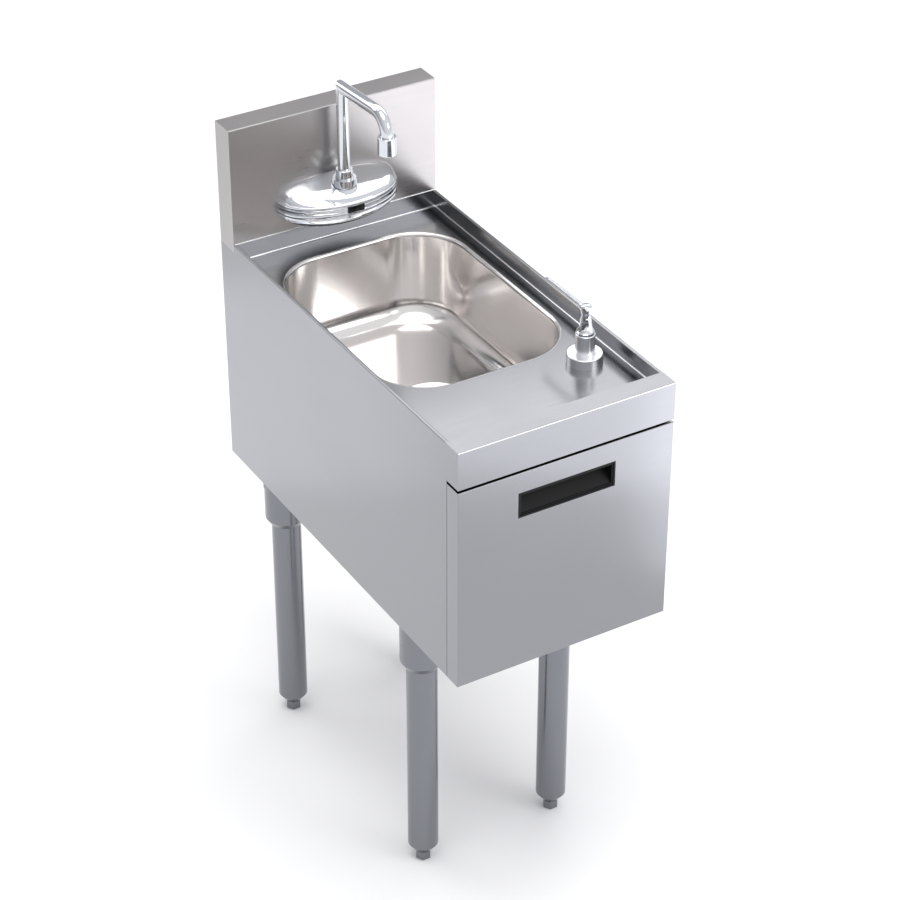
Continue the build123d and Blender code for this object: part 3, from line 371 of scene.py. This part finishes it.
# %% Moulded, turned and plated finishes
def grained(name, colour, metallic, roughness, grain_mm, depth, spread=0.08, vary=0.12):
    """A surface with an even grain: moulded texture, zinc spangle or turned metal."""
    material, tree, shader = start_material(name, colour, metallic, roughness)
    grain = add_node(
        tree, "ShaderNodeTexNoise", {"Vector": object_coordinates(tree, grain_mm)},
        {"Scale": 1.0, "Detail": 3.0, "Roughness": 0.6},
    )
    level = add_node(
        tree, "ShaderNodeMapRange", {"Value": grain.outputs["Fac"]},
        {**noise_range, "To Min": roughness - spread / 2, "To Max": roughness + spread / 2},
    )
    tree.links.new(level.outputs["Result"], shader.inputs["Roughness"])
    plain = linear(colour)[:3]
    tone = add_node(tree, "ShaderNodeMix", {"Factor": grain.outputs["Fac"]}, data_type="RGBA")
    tone.inputs["A"].default_value = [c * (1 - vary) for c in plain] + [1.0]
    tone.inputs["B"].default_value = [min(1.0, c * (1 + vary)) for c in plain] + [1.0]
    tree.links.new(tone.outputs["Result"], shader.inputs["Base Color"])
    bump = add_node(
        tree, "ShaderNodeBump",
        {"Height": grain.outputs["Fac"]}, {"Strength": 0.3, "Distance": depth},
    )
    tree.links.new(bump.outputs["Normal"], shader.inputs["Normal"])
    return material


black_abs = grained("abs_moulded_black", "#0E0E10", 0.0, 0.5, (1.2, 1.2, 1.2), 0.00008)
black_abs.node_tree.nodes["Principled BSDF"].inputs["Specular IOR Level"].default_value = 0.2
grey_abs = grained("abs_moulded_grey", "#7A7C7F", 0.0, 0.5, (1.5, 1.5, 1.5), 0.00008)
white_acetal = grained(
    "acetal_moulded_white", "#E4E3DE", 0.0, 0.4, (2, 2, 2), 0.00005, vary=0.04,
)
bottle_pe = grained(
    "polyethylene_blow_moulded", "#E8EAE6", 0.0, 0.35, (6, 6, 2), 0.0001, vary=0.04,
)
black_rubber = grained("rubber_moulded_black", "#1C1C1C", 0.0, 0.7, (0.8, 0.8, 0.8), 0.0001)
turned_brass = grained("brass_turned", "#B8A474", 1.0, 0.28, (20, 20, 0.5), 0.00003)
zinc_steel = grained("steel_zinc_plated", "#B4B7B8", 1.0, 0.38, (5, 5, 5), 0.00003)
spring_wire = grained("steel_spring_wire", "#8C8C8E", 1.0, 0.3, (1, 1, 1), 0.00002)
print("materials so far", len(bpy.data.materials))

# %% [markdown]
# ## Infrared lens
# The sensor sits behind an acrylic lens that is dyed so dark that only infrared light passes. It
# could be made as coloured glass, but nothing behind it can be seen, so a glossy near-black with a
# little haze from fingers and splashes looks the same and has no noise.

# %% Dark acrylic
finger_haze_mm = 3
sensor_lens, lens_tree, lens_shader = start_material(
    "acrylic_infrared_lens", "#0B0A0E", 0.0, 0.08,
)
lens_haze = add_node(
    lens_tree, "ShaderNodeTexNoise",
    {"Vector": object_coordinates(lens_tree, [finger_haze_mm] * 3)}, {"Scale": 1.0},
)
lens_film = add_node(
    lens_tree, "ShaderNodeMapRange",
    {"Value": lens_haze.outputs["Fac"]}, {"To Min": 0.06, "To Max": 0.14},
)
lens_tree.links.new(lens_film.outputs["Result"], lens_shader.inputs["Roughness"])
print("lens material", sensor_lens.name)

# %% [markdown]
# ## Dress the CAD nodes
# Each CAD node keeps its shape and takes a finish. The direction of the sheet's grain follows how
# each blank was laid on the steel: along the cabinet for the sides, across it for the splash and
# the drawer front. A table of names is the plainest way to say so.

# %% Finish of each node
finish_of = {
    "deck_pan": sheet_along_x, "left_side_panel": sheet_along_y, "right_side_panel": sheet_along_y,
    "backsplash": splash_sheet, "rear_panel": sheet_along_x, "front_channel": sheet_along_x,
    "rear_channel": sheet_along_x, "foot_inserts": black_abs, "socket_set_screws": zinc_steel,
    "sink_bowl": drawn_bowl, "drain_flange": chrome, "drain_strainer": chrome,
    "drain_gasket": black_rubber, "drain_locknut": turned_brass, "tailpiece": chrome,
    "tailpiece_nut": chrome, "faucet_body": chrome, "sensor_window": sensor_lens,
    "spout_collar": chrome, "spout": chrome, "aerator": chrome, "faucet_shank": turned_brass,
    "shank_nut": turned_brass, "supply_elbow": turned_brass, "faucet_mount_screws": zinc_steel,
    "control_box": grey_abs, "control_box_lid": grey_abs, "control_box_screws": zinc_steel,
    "inlet_fitting": turned_brass, "supply_hose": zinc_steel, "sensor_cable": black_rubber,
    "soap_flange": turned_steel, "soap_body": turned_steel, "soap_locknut": black_abs,
    "pump_dome": chrome, "pump_cylinder": white_acetal, "pump_stem": white_acetal,
    "pump_spring": spring_wire, "pump_head": chrome, "soap_bottle": bottle_pe,
    "dip_tube": white_acetal, "drawer_front": sheet_along_x, "drawer_pull": black_abs,
    "drawer_box": sheet_along_x, "cabinet_rails": zinc_steel, "drawer_rails": zinc_steel,
    "drawer_glides": white_acetal, "rail_stud_nuts": zinc_steel,
}
for corner in ("front_left", "front_right", "rear_left", "rear_right"):
    for part_of_leg in ("leg", "leg_socket", "foot"):
        finish_of[part_of_leg + "_" + corner] = satin_tube
for name, node in nodes.items():
    finish = finish_of[name]
    if not node.material_slots:
        node.data.materials.append(finish)
    for slot in node.material_slots:
        slot.material = finish
print("dressed", len(nodes), "nodes with", len(set(m.name for m in finish_of.values())), "finishes")

# %% [markdown]
# ## Broken edges
# No real edge is sharp: a deburring wheel or a tumbling drum leaves a small round on it, and that
# round is what catches the light as a thin bright line. Rounds in the CAD would make its meshes
# heavy, so a bevel modifier adds them to ten turned, folded and moulded pieces.

# %% Break the edges
edge_break_mm = {
    "soap_flange": 1.0, "soap_body": 0.6, "spout_collar": 0.7, "aerator": 0.7, "drawer_front": 0.5,
    "leg_socket_front_left": 0.7, "leg_socket_front_right": 0.7, "leg_socket_rear_left": 0.7,
    "leg_socket_rear_right": 0.7, "drawer_pull": 0.6,
}
for name, size in edge_break_mm.items():
    edge = nodes[name].modifiers.new("edge_break", "BEVEL")
    edge.width = size * MM
    edge.segments = 3
    edge.limit_method = "ANGLE"
    edge.angle_limit = math.radians(50)
    edge.harden_normals = True
print("edges broken on", len(edge_break_mm), "nodes")

# %% [markdown]
# ## From rings to a skin
# Most pieces of a sink are long and have much the same section all the way: a fold, a tube, a wire.
# So they are described as rings of points, and a skin is stretched from each ring to the next. The
# same helper then serves every new piece, and a second one gives a piece its finish and its body.

# %% Skin and dress
def skin(name, rings, smooth_angle=35.0):
    """A surface through equal rings of points, with both ends capped."""
    count = len(rings[0])
    rows = len(rings)
    faces = [
        (row * count + i, row * count + (i + 1) % count,
         (row + 1) * count + (i + 1) % count, (row + 1) * count + i)
        for row in range(rows - 1) for i in range(count)
    ]
    faces += [tuple(range(count)), tuple(range((rows - 1) * count, rows * count))]
    return mesh_object(name, [p for ring in rings for p in ring], faces, smooth_angle)


def dress(piece, material, body, slot, *nodes_it_stands_for):
    """Give a new piece its finish and its body, and hide the CAD nodes it stands for. The slot is
    not used.
    """
    piece.data.materials.clear()
    piece.data.materials.append(material)
    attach(piece, body)
    for node_name in nodes_it_stands_for:
        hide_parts(node_name)


# %% [markdown]
# ## Fold radii
# A press brake cannot fold steel to a sharp corner: the inside of each fold keeps a small radius. On
# the recessed deck these little coves show as thin bright lines, which draw the whole tray. Each is
# a strip with a quarter-round section, swept along its corner, in steel painted much lighter than
# the sheet: a painted highlight.

# %% Coves along the folds of the deck
half_width, sheet = 0.1524, 0.0012
inner_x = half_width - sheet
rim_z, deck_z, splash_y, rim_back_y = 0.7747, 0.7493, 0.2667, -0.2762
cove_mm = 1.7
quarter_steps = 8


def cove(name, start, end, into_a, into_b):
    """A quarter-round strip along a corner: into_a and into_b point out along the two faces."""
    start, end, into_a, into_b = Vector(start), Vector(end), Vector(into_a), Vector(into_b)
    radius = cove_mm * MM
    section = [Vector((0, 0, 0))]
    for step in range(quarter_steps + 1):
        turn = math.radians(90 * step / quarter_steps)
        section.append(
            into_a * radius * (1 - math.sin(turn)) + into_b * radius * (1 - math.cos(turn))
        )
    rings = [[start + p for p in section], [end + p for p in section]]
    return skin(name, rings, smooth_angle=60)


front_left = (-inner_x, rim_back_y, deck_z)
front_right = (inner_x, rim_back_y, deck_z)
back_left = (-inner_x, splash_y, deck_z)
back_right = (inner_x, splash_y, deck_z)
up = (0, 0, 1)
coves = [
    cove("fold_deck_right", front_right, back_right, (-1, 0, 0), up),
    cove("fold_deck_left", front_left, back_left, (1, 0, 0), up),
    cove("fold_deck_rear", back_left, back_right, (0, -1, 0), up),
    cove("fold_deck_front", front_left, front_right, (0, 1, 0), up),
]
for piece in coves:
    dress(piece, bend_highlight_sheet, "sink", "stainless_sheet")
print("coves", [piece.name for piece in coves])

# %% [markdown]
# ## Weld bead
# The splash is welded to the deck's rear upstand at the height of the rim, and the bead is ground
# to a low half round, which shows as one more bright line; its strip has the same painted highlight,
# steel much lighter than the sheet. Ripples from the welder's hand are gone after grinding, so a
# plain half-round strip is enough.

# %% Weld bead at the foot of the splash
bead_mm = 0.9
bead_step_degrees = 20
bead_rings = [
    [
        (x, splash_y - bead_mm * MM * math.sin(math.radians(turn)),
         rim_z + bead_mm * MM * math.cos(math.radians(turn)))
        for turn in range(0, 181, bead_step_degrees)
    ]
    for x in (-inner_x, inner_x)
]
bead = skin("splash_weld_bead", bead_rings, smooth_angle=60)
dress(bead, bend_highlight_sheet, "sink", "stainless_sheet")
print("bead", 2 * bead_mm, "mm tall")

# %% [markdown]
# ## Front bend
# The long bend between the rim and the apron shows as a bright line, and here that line is a painted
# highlight: its strip is steel much lighter than the sheet. A bevel on the whole deck would round
# every other edge too, so this one bend is a strip of its own, laid inside the CAD box.

# %% Front bend of the rim
front_y, bend_radius_mm = -0.3048, 0.85
bend_leg = sheet * 1.15           # how far the strip reaches along each face
under_face, in_from_end = 0.0002, 0.0003
bend_section = [
    (front_y + bend_leg, rim_z - under_face), (front_y + under_face, rim_z - bend_leg),
]
for step in range(quarter_steps + 1):
    turn = math.radians(90 * step / quarter_steps)
    bend_section.append((
        front_y + bend_radius_mm * MM * (1 - math.cos(turn)),
        rim_z - bend_radius_mm * MM * (1 - math.sin(turn)),
    ))
bend_ends = (-half_width + in_from_end, half_width - in_from_end)
front_bend = skin(
    "front_bend", [[(x, y, z) for y, z in bend_section] for x in bend_ends], smooth_angle=60,
)
dress(front_bend, bend_highlight_sheet, "sink", "stainless_sheet")
print("front bend", bend_radius_mm, "mm in radius")

# %% [markdown]
# ## Turning and joining
# Round parts of a faucet are made on a lathe, from a profile that is spun about an axis, and the
# same works for their meshes. Where two shapes meet, a boolean joins or cuts them, as brazing and
# milling do. The exact solver is slower than the fast one, but leaves no holes at the joint.

# %% Lathe and boolean helpers
axis_hole_mm = 0.02     # a profile that reaches the axis keeps this radius, so no face is empty


def turned(name, profile_mm, centre, base_z, segments=64):
    """A lathe-turned piece: profile of radius and height in mm, spun about an upright axis."""
    rings = [
        [
            (centre[0] + max(radius, axis_hole_mm) * MM * math.cos(2 * math.pi * i / segments),
             centre[1] + max(radius, axis_hole_mm) * MM * math.sin(2 * math.pi * i / segments),
             base_z + height * MM)
            for i in range(segments)
        ]
        for radius, height in profile_mm
    ]
    return skin(name, rings)


def combine(piece, tool, operation, smooth_angle=35.0):
    """Join a tool to a piece (UNION) or cut it away (DIFFERENCE), and remove the tool."""
    step = piece.modifiers.new("combine", "BOOLEAN")
    step.operation = operation
    step.object = tool
    step.solver = "EXACT"
    graph = bpy.context.evaluated_depsgraph_get()
    result = bpy.data.meshes.new_from_object(piece.evaluated_get(graph))
    piece.modifiers.clear()
    piece.data = result
    bpy.data.objects.remove(tool)
    result.shade_smooth()
    result.set_sharp_from_angle(angle=math.radians(smooth_angle))


print("lathe work keeps", axis_hole_mm, "mm round its axis")

# %% [markdown]
# ## Faucet housing
# The housing is a brass casting against the splash. Seen from above it is half an ellipse. It has
# a rounded belly, a lip with two fine grooves, and a crown that climbs to the splash. Rings of
# half ellipses, one above the other, describe all of it, where a sculpted mesh would lose the clean
# grooves. The shoulder under the spout is turned, so it is joined on, and the seat for the spout's
# collar is cut out as a milling cutter would.

# %% Housing ring
housing_half, housing_reach = 87.0, 57.0
riser_offset = 0.025
riser_y = splash_y - riser_offset


def housing_ring(height, wide, reach, steps=72):
    """Half an ellipse on the splash, sizes in mm above the rim."""
    return [
        (wide * MM * math.cos(math.pi * i / steps),
         splash_y - reach * MM * math.sin(math.pi * i / steps), rim_z + height * MM)
        for i in range(steps + 1)
    ]


print("housing", 2 * housing_half, "mm wide, reaching", housing_reach, "mm from the splash")

# %% Belly, lip and crown
# Exponents away from 1 make a quarter curve a little fuller or leaner than a circle's.
belly_steps, belly_rise, belly_lead_degrees = 13, 30, 2
rings = []
for step in range(1, belly_steps):
    turn = math.radians(90 * step / belly_steps + belly_lead_degrees)
    rings.append(housing_ring(
        belly_rise * (1 - math.cos(turn)) ** 0.9,
        housing_half * math.sin(turn), housing_reach * math.sin(turn) ** 1.3,
    ))
lip_profile = [
    (30.2, -0.9), (30.8, -0.2), (32, 0), (35.2, -0.1), (35.9, -0.6), (36.2, -1.5), (36.9, -1.5),
    (37.2, -0.6), (37.9, -0.1), (41, 0), (41.7, -0.5), (42.0, -1.4), (42.7, -1.4), (43.0, -0.5),
    (43.8, -0.1), (46.4, -0.1), (47.4, -0.6), (47.9, -1.6), (48.0, -2.4),
]
rings += [housing_ring(z, housing_half + out, housing_reach + out) for z, out in lip_profile]
lip_top, crown_inset, crown_rise, crown_steps = 48, 2.4, 22.0, 24
crown_end = 24.4     # just past the last step, so that the crown never shrinks to a line
for step in range(1, crown_steps + 1):
    share = 1 - (1 - step / crown_end) ** 1.6
    rings.append(housing_ring(
        lip_top + crown_rise * share,
        (housing_half - crown_inset) * (1 - share ** 2.5) ** (1 / 2.2),
        (housing_reach - crown_inset) * (1 - share ** 1.25) ** 0.95,
    ))
housing = skin("faucet_housing", rings, smooth_angle=40)
print("housing of", len(rings), "rings")

# %% Shoulder and collar seat
shoulder = turned(
    "shoulder",
    [(0, 40), (21.5, 40), (21.5, 51), (19.0, 54), (17.6, 57), (16.9, 59.8), (0, 59.8)],
    (0, riser_y), rim_z,
)
combine(housing, shoulder, "UNION")
seat = turned("seat", [(0, 59.8), (16.6, 59.8), (16.6, 90), (0, 90)], (0, riser_y), rim_z)
combine(housing, seat, "DIFFERENCE")
dress(housing, chrome, "sink", "chrome", "faucet_body")
print("faucet housing", len(housing.data.polygons), "faces")

# %% [markdown]
# ## Sensor lens
# The infrared sensor looks out through a dark acrylic lens, glued into the lip. Its face follows
# the curve of the lip and its corners are round. A flat box would stand off the curve at its ends,
# so the outline is laid on the ellipse point by point.

# %% Sensor lens
lens_wide, lens_tall, lens_corner, lens_proud = 25.0, 9.0, 1.8, 0.7
lens_height, lens_depth = 39.0, 2.6
corner_steps = 6
lens_outline = []
for corner in range(4):
    centre_x = (lens_wide / 2 - lens_corner) * (1 if corner in (0, 3) else -1)
    centre_z = (lens_tall / 2 - lens_corner) * (1 if corner in (0, 1) else -1)
    for step in range(corner_steps + 1):
        turn = math.radians(90 * corner + 90 / corner_steps * step)
        lens_outline.append((
            centre_x + lens_corner * math.cos(turn), centre_z + lens_corner * math.sin(turn),
        ))


def lens_ring(inset, proud):
    """The lens outline, pulled in and set forward of the lip's curve."""
    ring = []
    for x, z in lens_outline:
        x, z = x * (1 - 2 * inset / lens_wide), z * (1 - 2 * inset / lens_tall)
        reach = housing_reach * math.sqrt(1 - (x / housing_half) ** 2) + proud
        ring.append((x * MM, splash_y - reach * MM, rim_z + (lens_height + z) * MM))
    return ring


lens = skin("sensor_lens", [
    lens_ring(0, -lens_depth), lens_ring(0, lens_proud - 0.4),
    lens_ring(0.15, lens_proud - 0.1), lens_ring(0.5, lens_proud),
])
dress(lens, sensor_lens, "sink", "sensor_lens", "sensor_window")
print("lens", lens_wide, "by", lens_tall, "mm")

# %% [markdown]
# ## Spout
# The spout is one brass tube. A saw cut at an angle and a brazed joint make its sharp elbow; the
# far end is bent on a mandrel. A tube follows from rings: at the elbow the ring lies in the plane
# that halves the corner, so that both legs meet in one clean line.

# %% Spout ring
spout_radius, elbow_up, climb, reach_out, bend_mm = 8.2, 199.6, 8.0, 116.0, 26.0
spout_foot, spout_end = 80.0, 172.4
upright = math.pi / 2
arm_turn = math.atan2(climb, reach_out)
corner_turn = upright + arm_turn
tangent = bend_mm * math.tan(corner_turn / 2)


def spout_ring(y_mm, z_mm, along, shear=0.0, around=48):
    """A ring across the tube; along is its angle above level, heading forward; shear slants it."""
    ring = []
    for i in range(around):
        turn = 2 * math.pi * i / around
        side, out = spout_radius * math.cos(turn), spout_radius * math.sin(turn)
        y = y_mm + out * math.sin(along) - out * shear * math.cos(along)
        z = z_mm + out * math.cos(along) + out * shear * math.sin(along)
        ring.append((side * MM, riser_y + y * MM, rim_z + z * MM))
    return ring


print("the arm climbs", round(math.degrees(arm_turn), 1), "degrees")

# %% Spout from foot to end
below_elbow = 14
bend_steps = 18
elbow_shear = math.tan((upright - arm_turn) / 2)
spout_rings = [
    spout_ring(0, spout_foot, upright), spout_ring(0, elbow_up - below_elbow, upright),
    spout_ring(0, elbow_up, upright, elbow_shear),
]
straight_run = math.hypot(climb, reach_out) - tangent
for share in (0.14, 0.5, 1.0):
    run = straight_run * share
    spout_rings.append(spout_ring(
        -run * math.cos(arm_turn), elbow_up + run * math.sin(arm_turn), arm_turn,
    ))
centre_y = -straight_run * math.cos(arm_turn) - bend_mm * math.sin(arm_turn)
centre_z = elbow_up + straight_run * math.sin(arm_turn) - bend_mm * math.cos(arm_turn)
for step in range(1, bend_steps + 1):
    along = arm_turn - corner_turn * step / bend_steps
    spout_rings.append(spout_ring(
        centre_y + bend_mm * math.sin(along), centre_z + bend_mm * math.cos(along), along,
    ))
spout_rings.append(spout_ring(-reach_out, spout_end, -upright))
spout_tube = skin("spout_tube", spout_rings, smooth_angle=32)
dress(spout_tube, chrome, "spout_arm", "chrome", "spout")

# %% [markdown]
# ## Soap pump head
# The head is a chromed die casting on the pump's stem: a waisted neck, a narrow gap, a round cap,
# and a long thin nozzle with fine rings that keep wet fingers from slipping. The cap is turned. The
# rings of the nozzle could be bump only, but they show on its outline, so they are modelled.

# %% Pump cap
pump_place = (0.1078, -0.1728)
pump_cap = turned("pump_cap", [
    (0, 20.2), (6.5, 20.2), (6.55, 35.5), (6.2, 37.5), (5.8, 40), (6.0, 42.5), (6.5, 44.2),
    (6.0, 44.5), (5.6, 44.7), (5.6, 45.3), (6.4, 45.5), (7.0, 46.1), (7.0, 52.4), (6.7, 53.4),
    (5.9, 54.1), (4.4, 54.5), (0, 54.8),
], pump_place, rim_z)
dress(pump_cap, chrome, "pump_top", "chrome", "pump_head")
print("pump cap", len(pump_cap.data.polygons), "faces")

# %% Pump nozzle
nozzle_length, nozzle_height, nozzle_radius, nozzle_taper = 90.8, 48.6, 3.1, 0.65
rib_pitch, rib_height, ribs_from, ribs_to = 1.6, 0.16, 12, 84
droop, droop_from, droop_run = 2.0, 78, 12
steps_per_rib, nozzle_sides = 4, 24
nozzle_rings = []
for step in range(int(nozzle_length / rib_pitch * steps_per_rib) + 1):
    run = step * rib_pitch / steps_per_rib
    share = run / nozzle_length
    ribbed = ribs_from < run < ribs_to
    rib = rib_height * math.sin(2 * math.pi * run / rib_pitch) if ribbed else 0.0
    radius = nozzle_radius - nozzle_taper * share + rib
    drop = droop * max(0.0, (run - droop_from) / droop_run) ** 2
    nozzle_rings.append([
        (pump_place[0] + radius * MM * math.cos(2 * math.pi * i / nozzle_sides),
         pump_place[1] + run * MM,
         rim_z + (nozzle_height - drop + radius * math.sin(2 * math.pi * i / nozzle_sides)) * MM)
        for i in range(nozzle_sides)
    ])
pump_nozzle = skin("pump_nozzle", nozzle_rings, smooth_angle=60)
dress(pump_nozzle, chrome, "pump_top", "chrome", "pump_head")
print("pump nozzle", len(pump_nozzle.data.polygons), "faces")

# %% [markdown]
# ## Pump spring
# Inside the pump a stainless spring pushes the plunger back up. Its lower end rests on the
# cylinder's floor and stays there, so the spring gets shorter when the pump is pressed. Here it
# rides on the sink.

# %% Coil
spring_low_mm, spring_rise_mm, spring_coil_mm, spring_wire_mm = 712.85, 33.9, 4.6, 0.5
spring_turns, steps_per_turn, wire_sides = 8, 24, 10
coil_rings = []
for step in range(spring_turns * steps_per_turn + 1):
    turn = 2 * math.pi * step / steps_per_turn
    height = spring_low_mm + spring_rise_mm * step / (spring_turns * steps_per_turn)
    ring = []
    for i in range(wire_sides):
        around = 2 * math.pi * i / wire_sides
        out = spring_coil_mm + spring_wire_mm * math.cos(around)
        ring.append((
            pump_place[0] + out * MM * math.cos(turn), pump_place[1] + out * MM * math.sin(turn),
            (height + spring_wire_mm * math.sin(around)) * MM,
        ))
    coil_rings.append(ring)
spring = skin("pump_return_spring", coil_rings, smooth_angle=70)
dress(spring, spring_wire, "sink", "spring_steel", "pump_spring")
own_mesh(spring)

# %% [markdown]
# ## Wire braid
# A supply hose is a rubber tube inside a braid of stainless wire, woven as two sets of strands that
# cross at about 90 degrees. Modelling each wire would take thousands of curves for a piece behind
# the splash, so two wave patterns at 45 degrees make the strands: the higher of the two is on top.

# %% Wire braid
strand_mm = 1.3      # real braid wire is near 0.25 mm; this is as fine as still shows here
waves_per_unit = 3.1     # how often a wave pattern at scale 1 repeats in one unit, nearly
braid, braid_tree, braid_shader = start_material("stainless_wire_braid", "#A9ABAE", 1.0, 0.3)
strands = [
    add_node(
        braid_tree, "ShaderNodeTexWave",
        {"Vector": add_node(
            braid_tree, "ShaderNodeMapping",
            {"Vector": object_coordinates(braid_tree, [strand_mm * waves_per_unit] * 3)},
            {"Rotation": (0, math.radians(lean), 0)},
        ).outputs["Vector"]},
        {"Scale": 1.0}, bands_direction="Z",
    )
    for lean in (-45, 45)
]
weave = add_node(
    braid_tree, "ShaderNodeMath",
    {0: strands[0].outputs["Fac"], 1: strands[1].outputs["Fac"]}, operation="MAXIMUM",
)
weave_tone = add_node(
    braid_tree, "ShaderNodeMix", {"Factor": weave.outputs["Value"]}, data_type="RGBA",
)
weave_tone.inputs["A"].default_value = linear("#4A4B4E")
weave_tone.inputs["B"].default_value = linear("#B6B8BB")
braid_tree.links.new(weave_tone.outputs["Result"], braid_shader.inputs["Base Color"])
weave_bump = add_node(
    braid_tree, "ShaderNodeBump",
    {"Height": weave.outputs["Value"]}, {"Strength": 0.6, "Distance": 0.0003},
)
braid_tree.links.new(weave_bump.outputs["Normal"], braid_shader.inputs["Normal"])
print("braid strands", strand_mm, "mm apart")

# %% [markdown]
# ## Supply hose and sensor cable
# Behind the splash a braided hose brings water from the valve box to the faucet, and a thin cable
# comes back from the sensor. Both are held at each end, so they hang in one easy curve between two
# fittings. A NURBS curve draws that: it is smooth and leaves each fitting straight. Its order is
# set after its points are added, because set before, it would stay at 2, which is straight runs.

# %% Hose and cable
def flexible_line(name, route_mm, radius_mm, material, slot_name, stands_for):
    """A round flexible line along a smooth curve through the space of its route."""
    data = bpy.data.curves.new(name, "CURVE")
    data.dimensions = "3D"
    data.bevel_depth = radius_mm * MM
    data.bevel_resolution = 6
    data.resolution_u = 24
    data.use_fill_caps = True
    line = data.splines.new("NURBS")
    line.points.add(len(route_mm) - 1)
    for point, place in zip(line.points, route_mm):
        point.co = [c * MM for c in place] + [1.0]
    line.order_u = 3
    line.use_endpoint_u = True
    piece = bpy.data.objects.new(name, data)
    bpy.context.scene.collection.objects.link(piece)
    dress(piece, material, "sink", slot_name, stands_for)
    return piece, line.calc_length()


hose, hose_length = flexible_line("braided_supply_hose", [
    (0, 294.7, 787.7), (0, 294.7, 730.7), (-44, 283.4, 678.7), (-44, 283.4, 644.7),
], 5.0, braid, "braided_hose", "supply_hose")
cable, cable_length = flexible_line("sensor_lead", [
    (-28, 268.4, 813.7), (-28, 282.7, 813.7), (-28, 282.7, 734.7), (-84, 283.4, 680.7),
    (-84, 283.4, 644.7),
], 2.2, black_rubber, "black_rubber", "sensor_cable")
print("hose", round(hose_length, 4), "m, cable", round(cable_length, 4), "m")
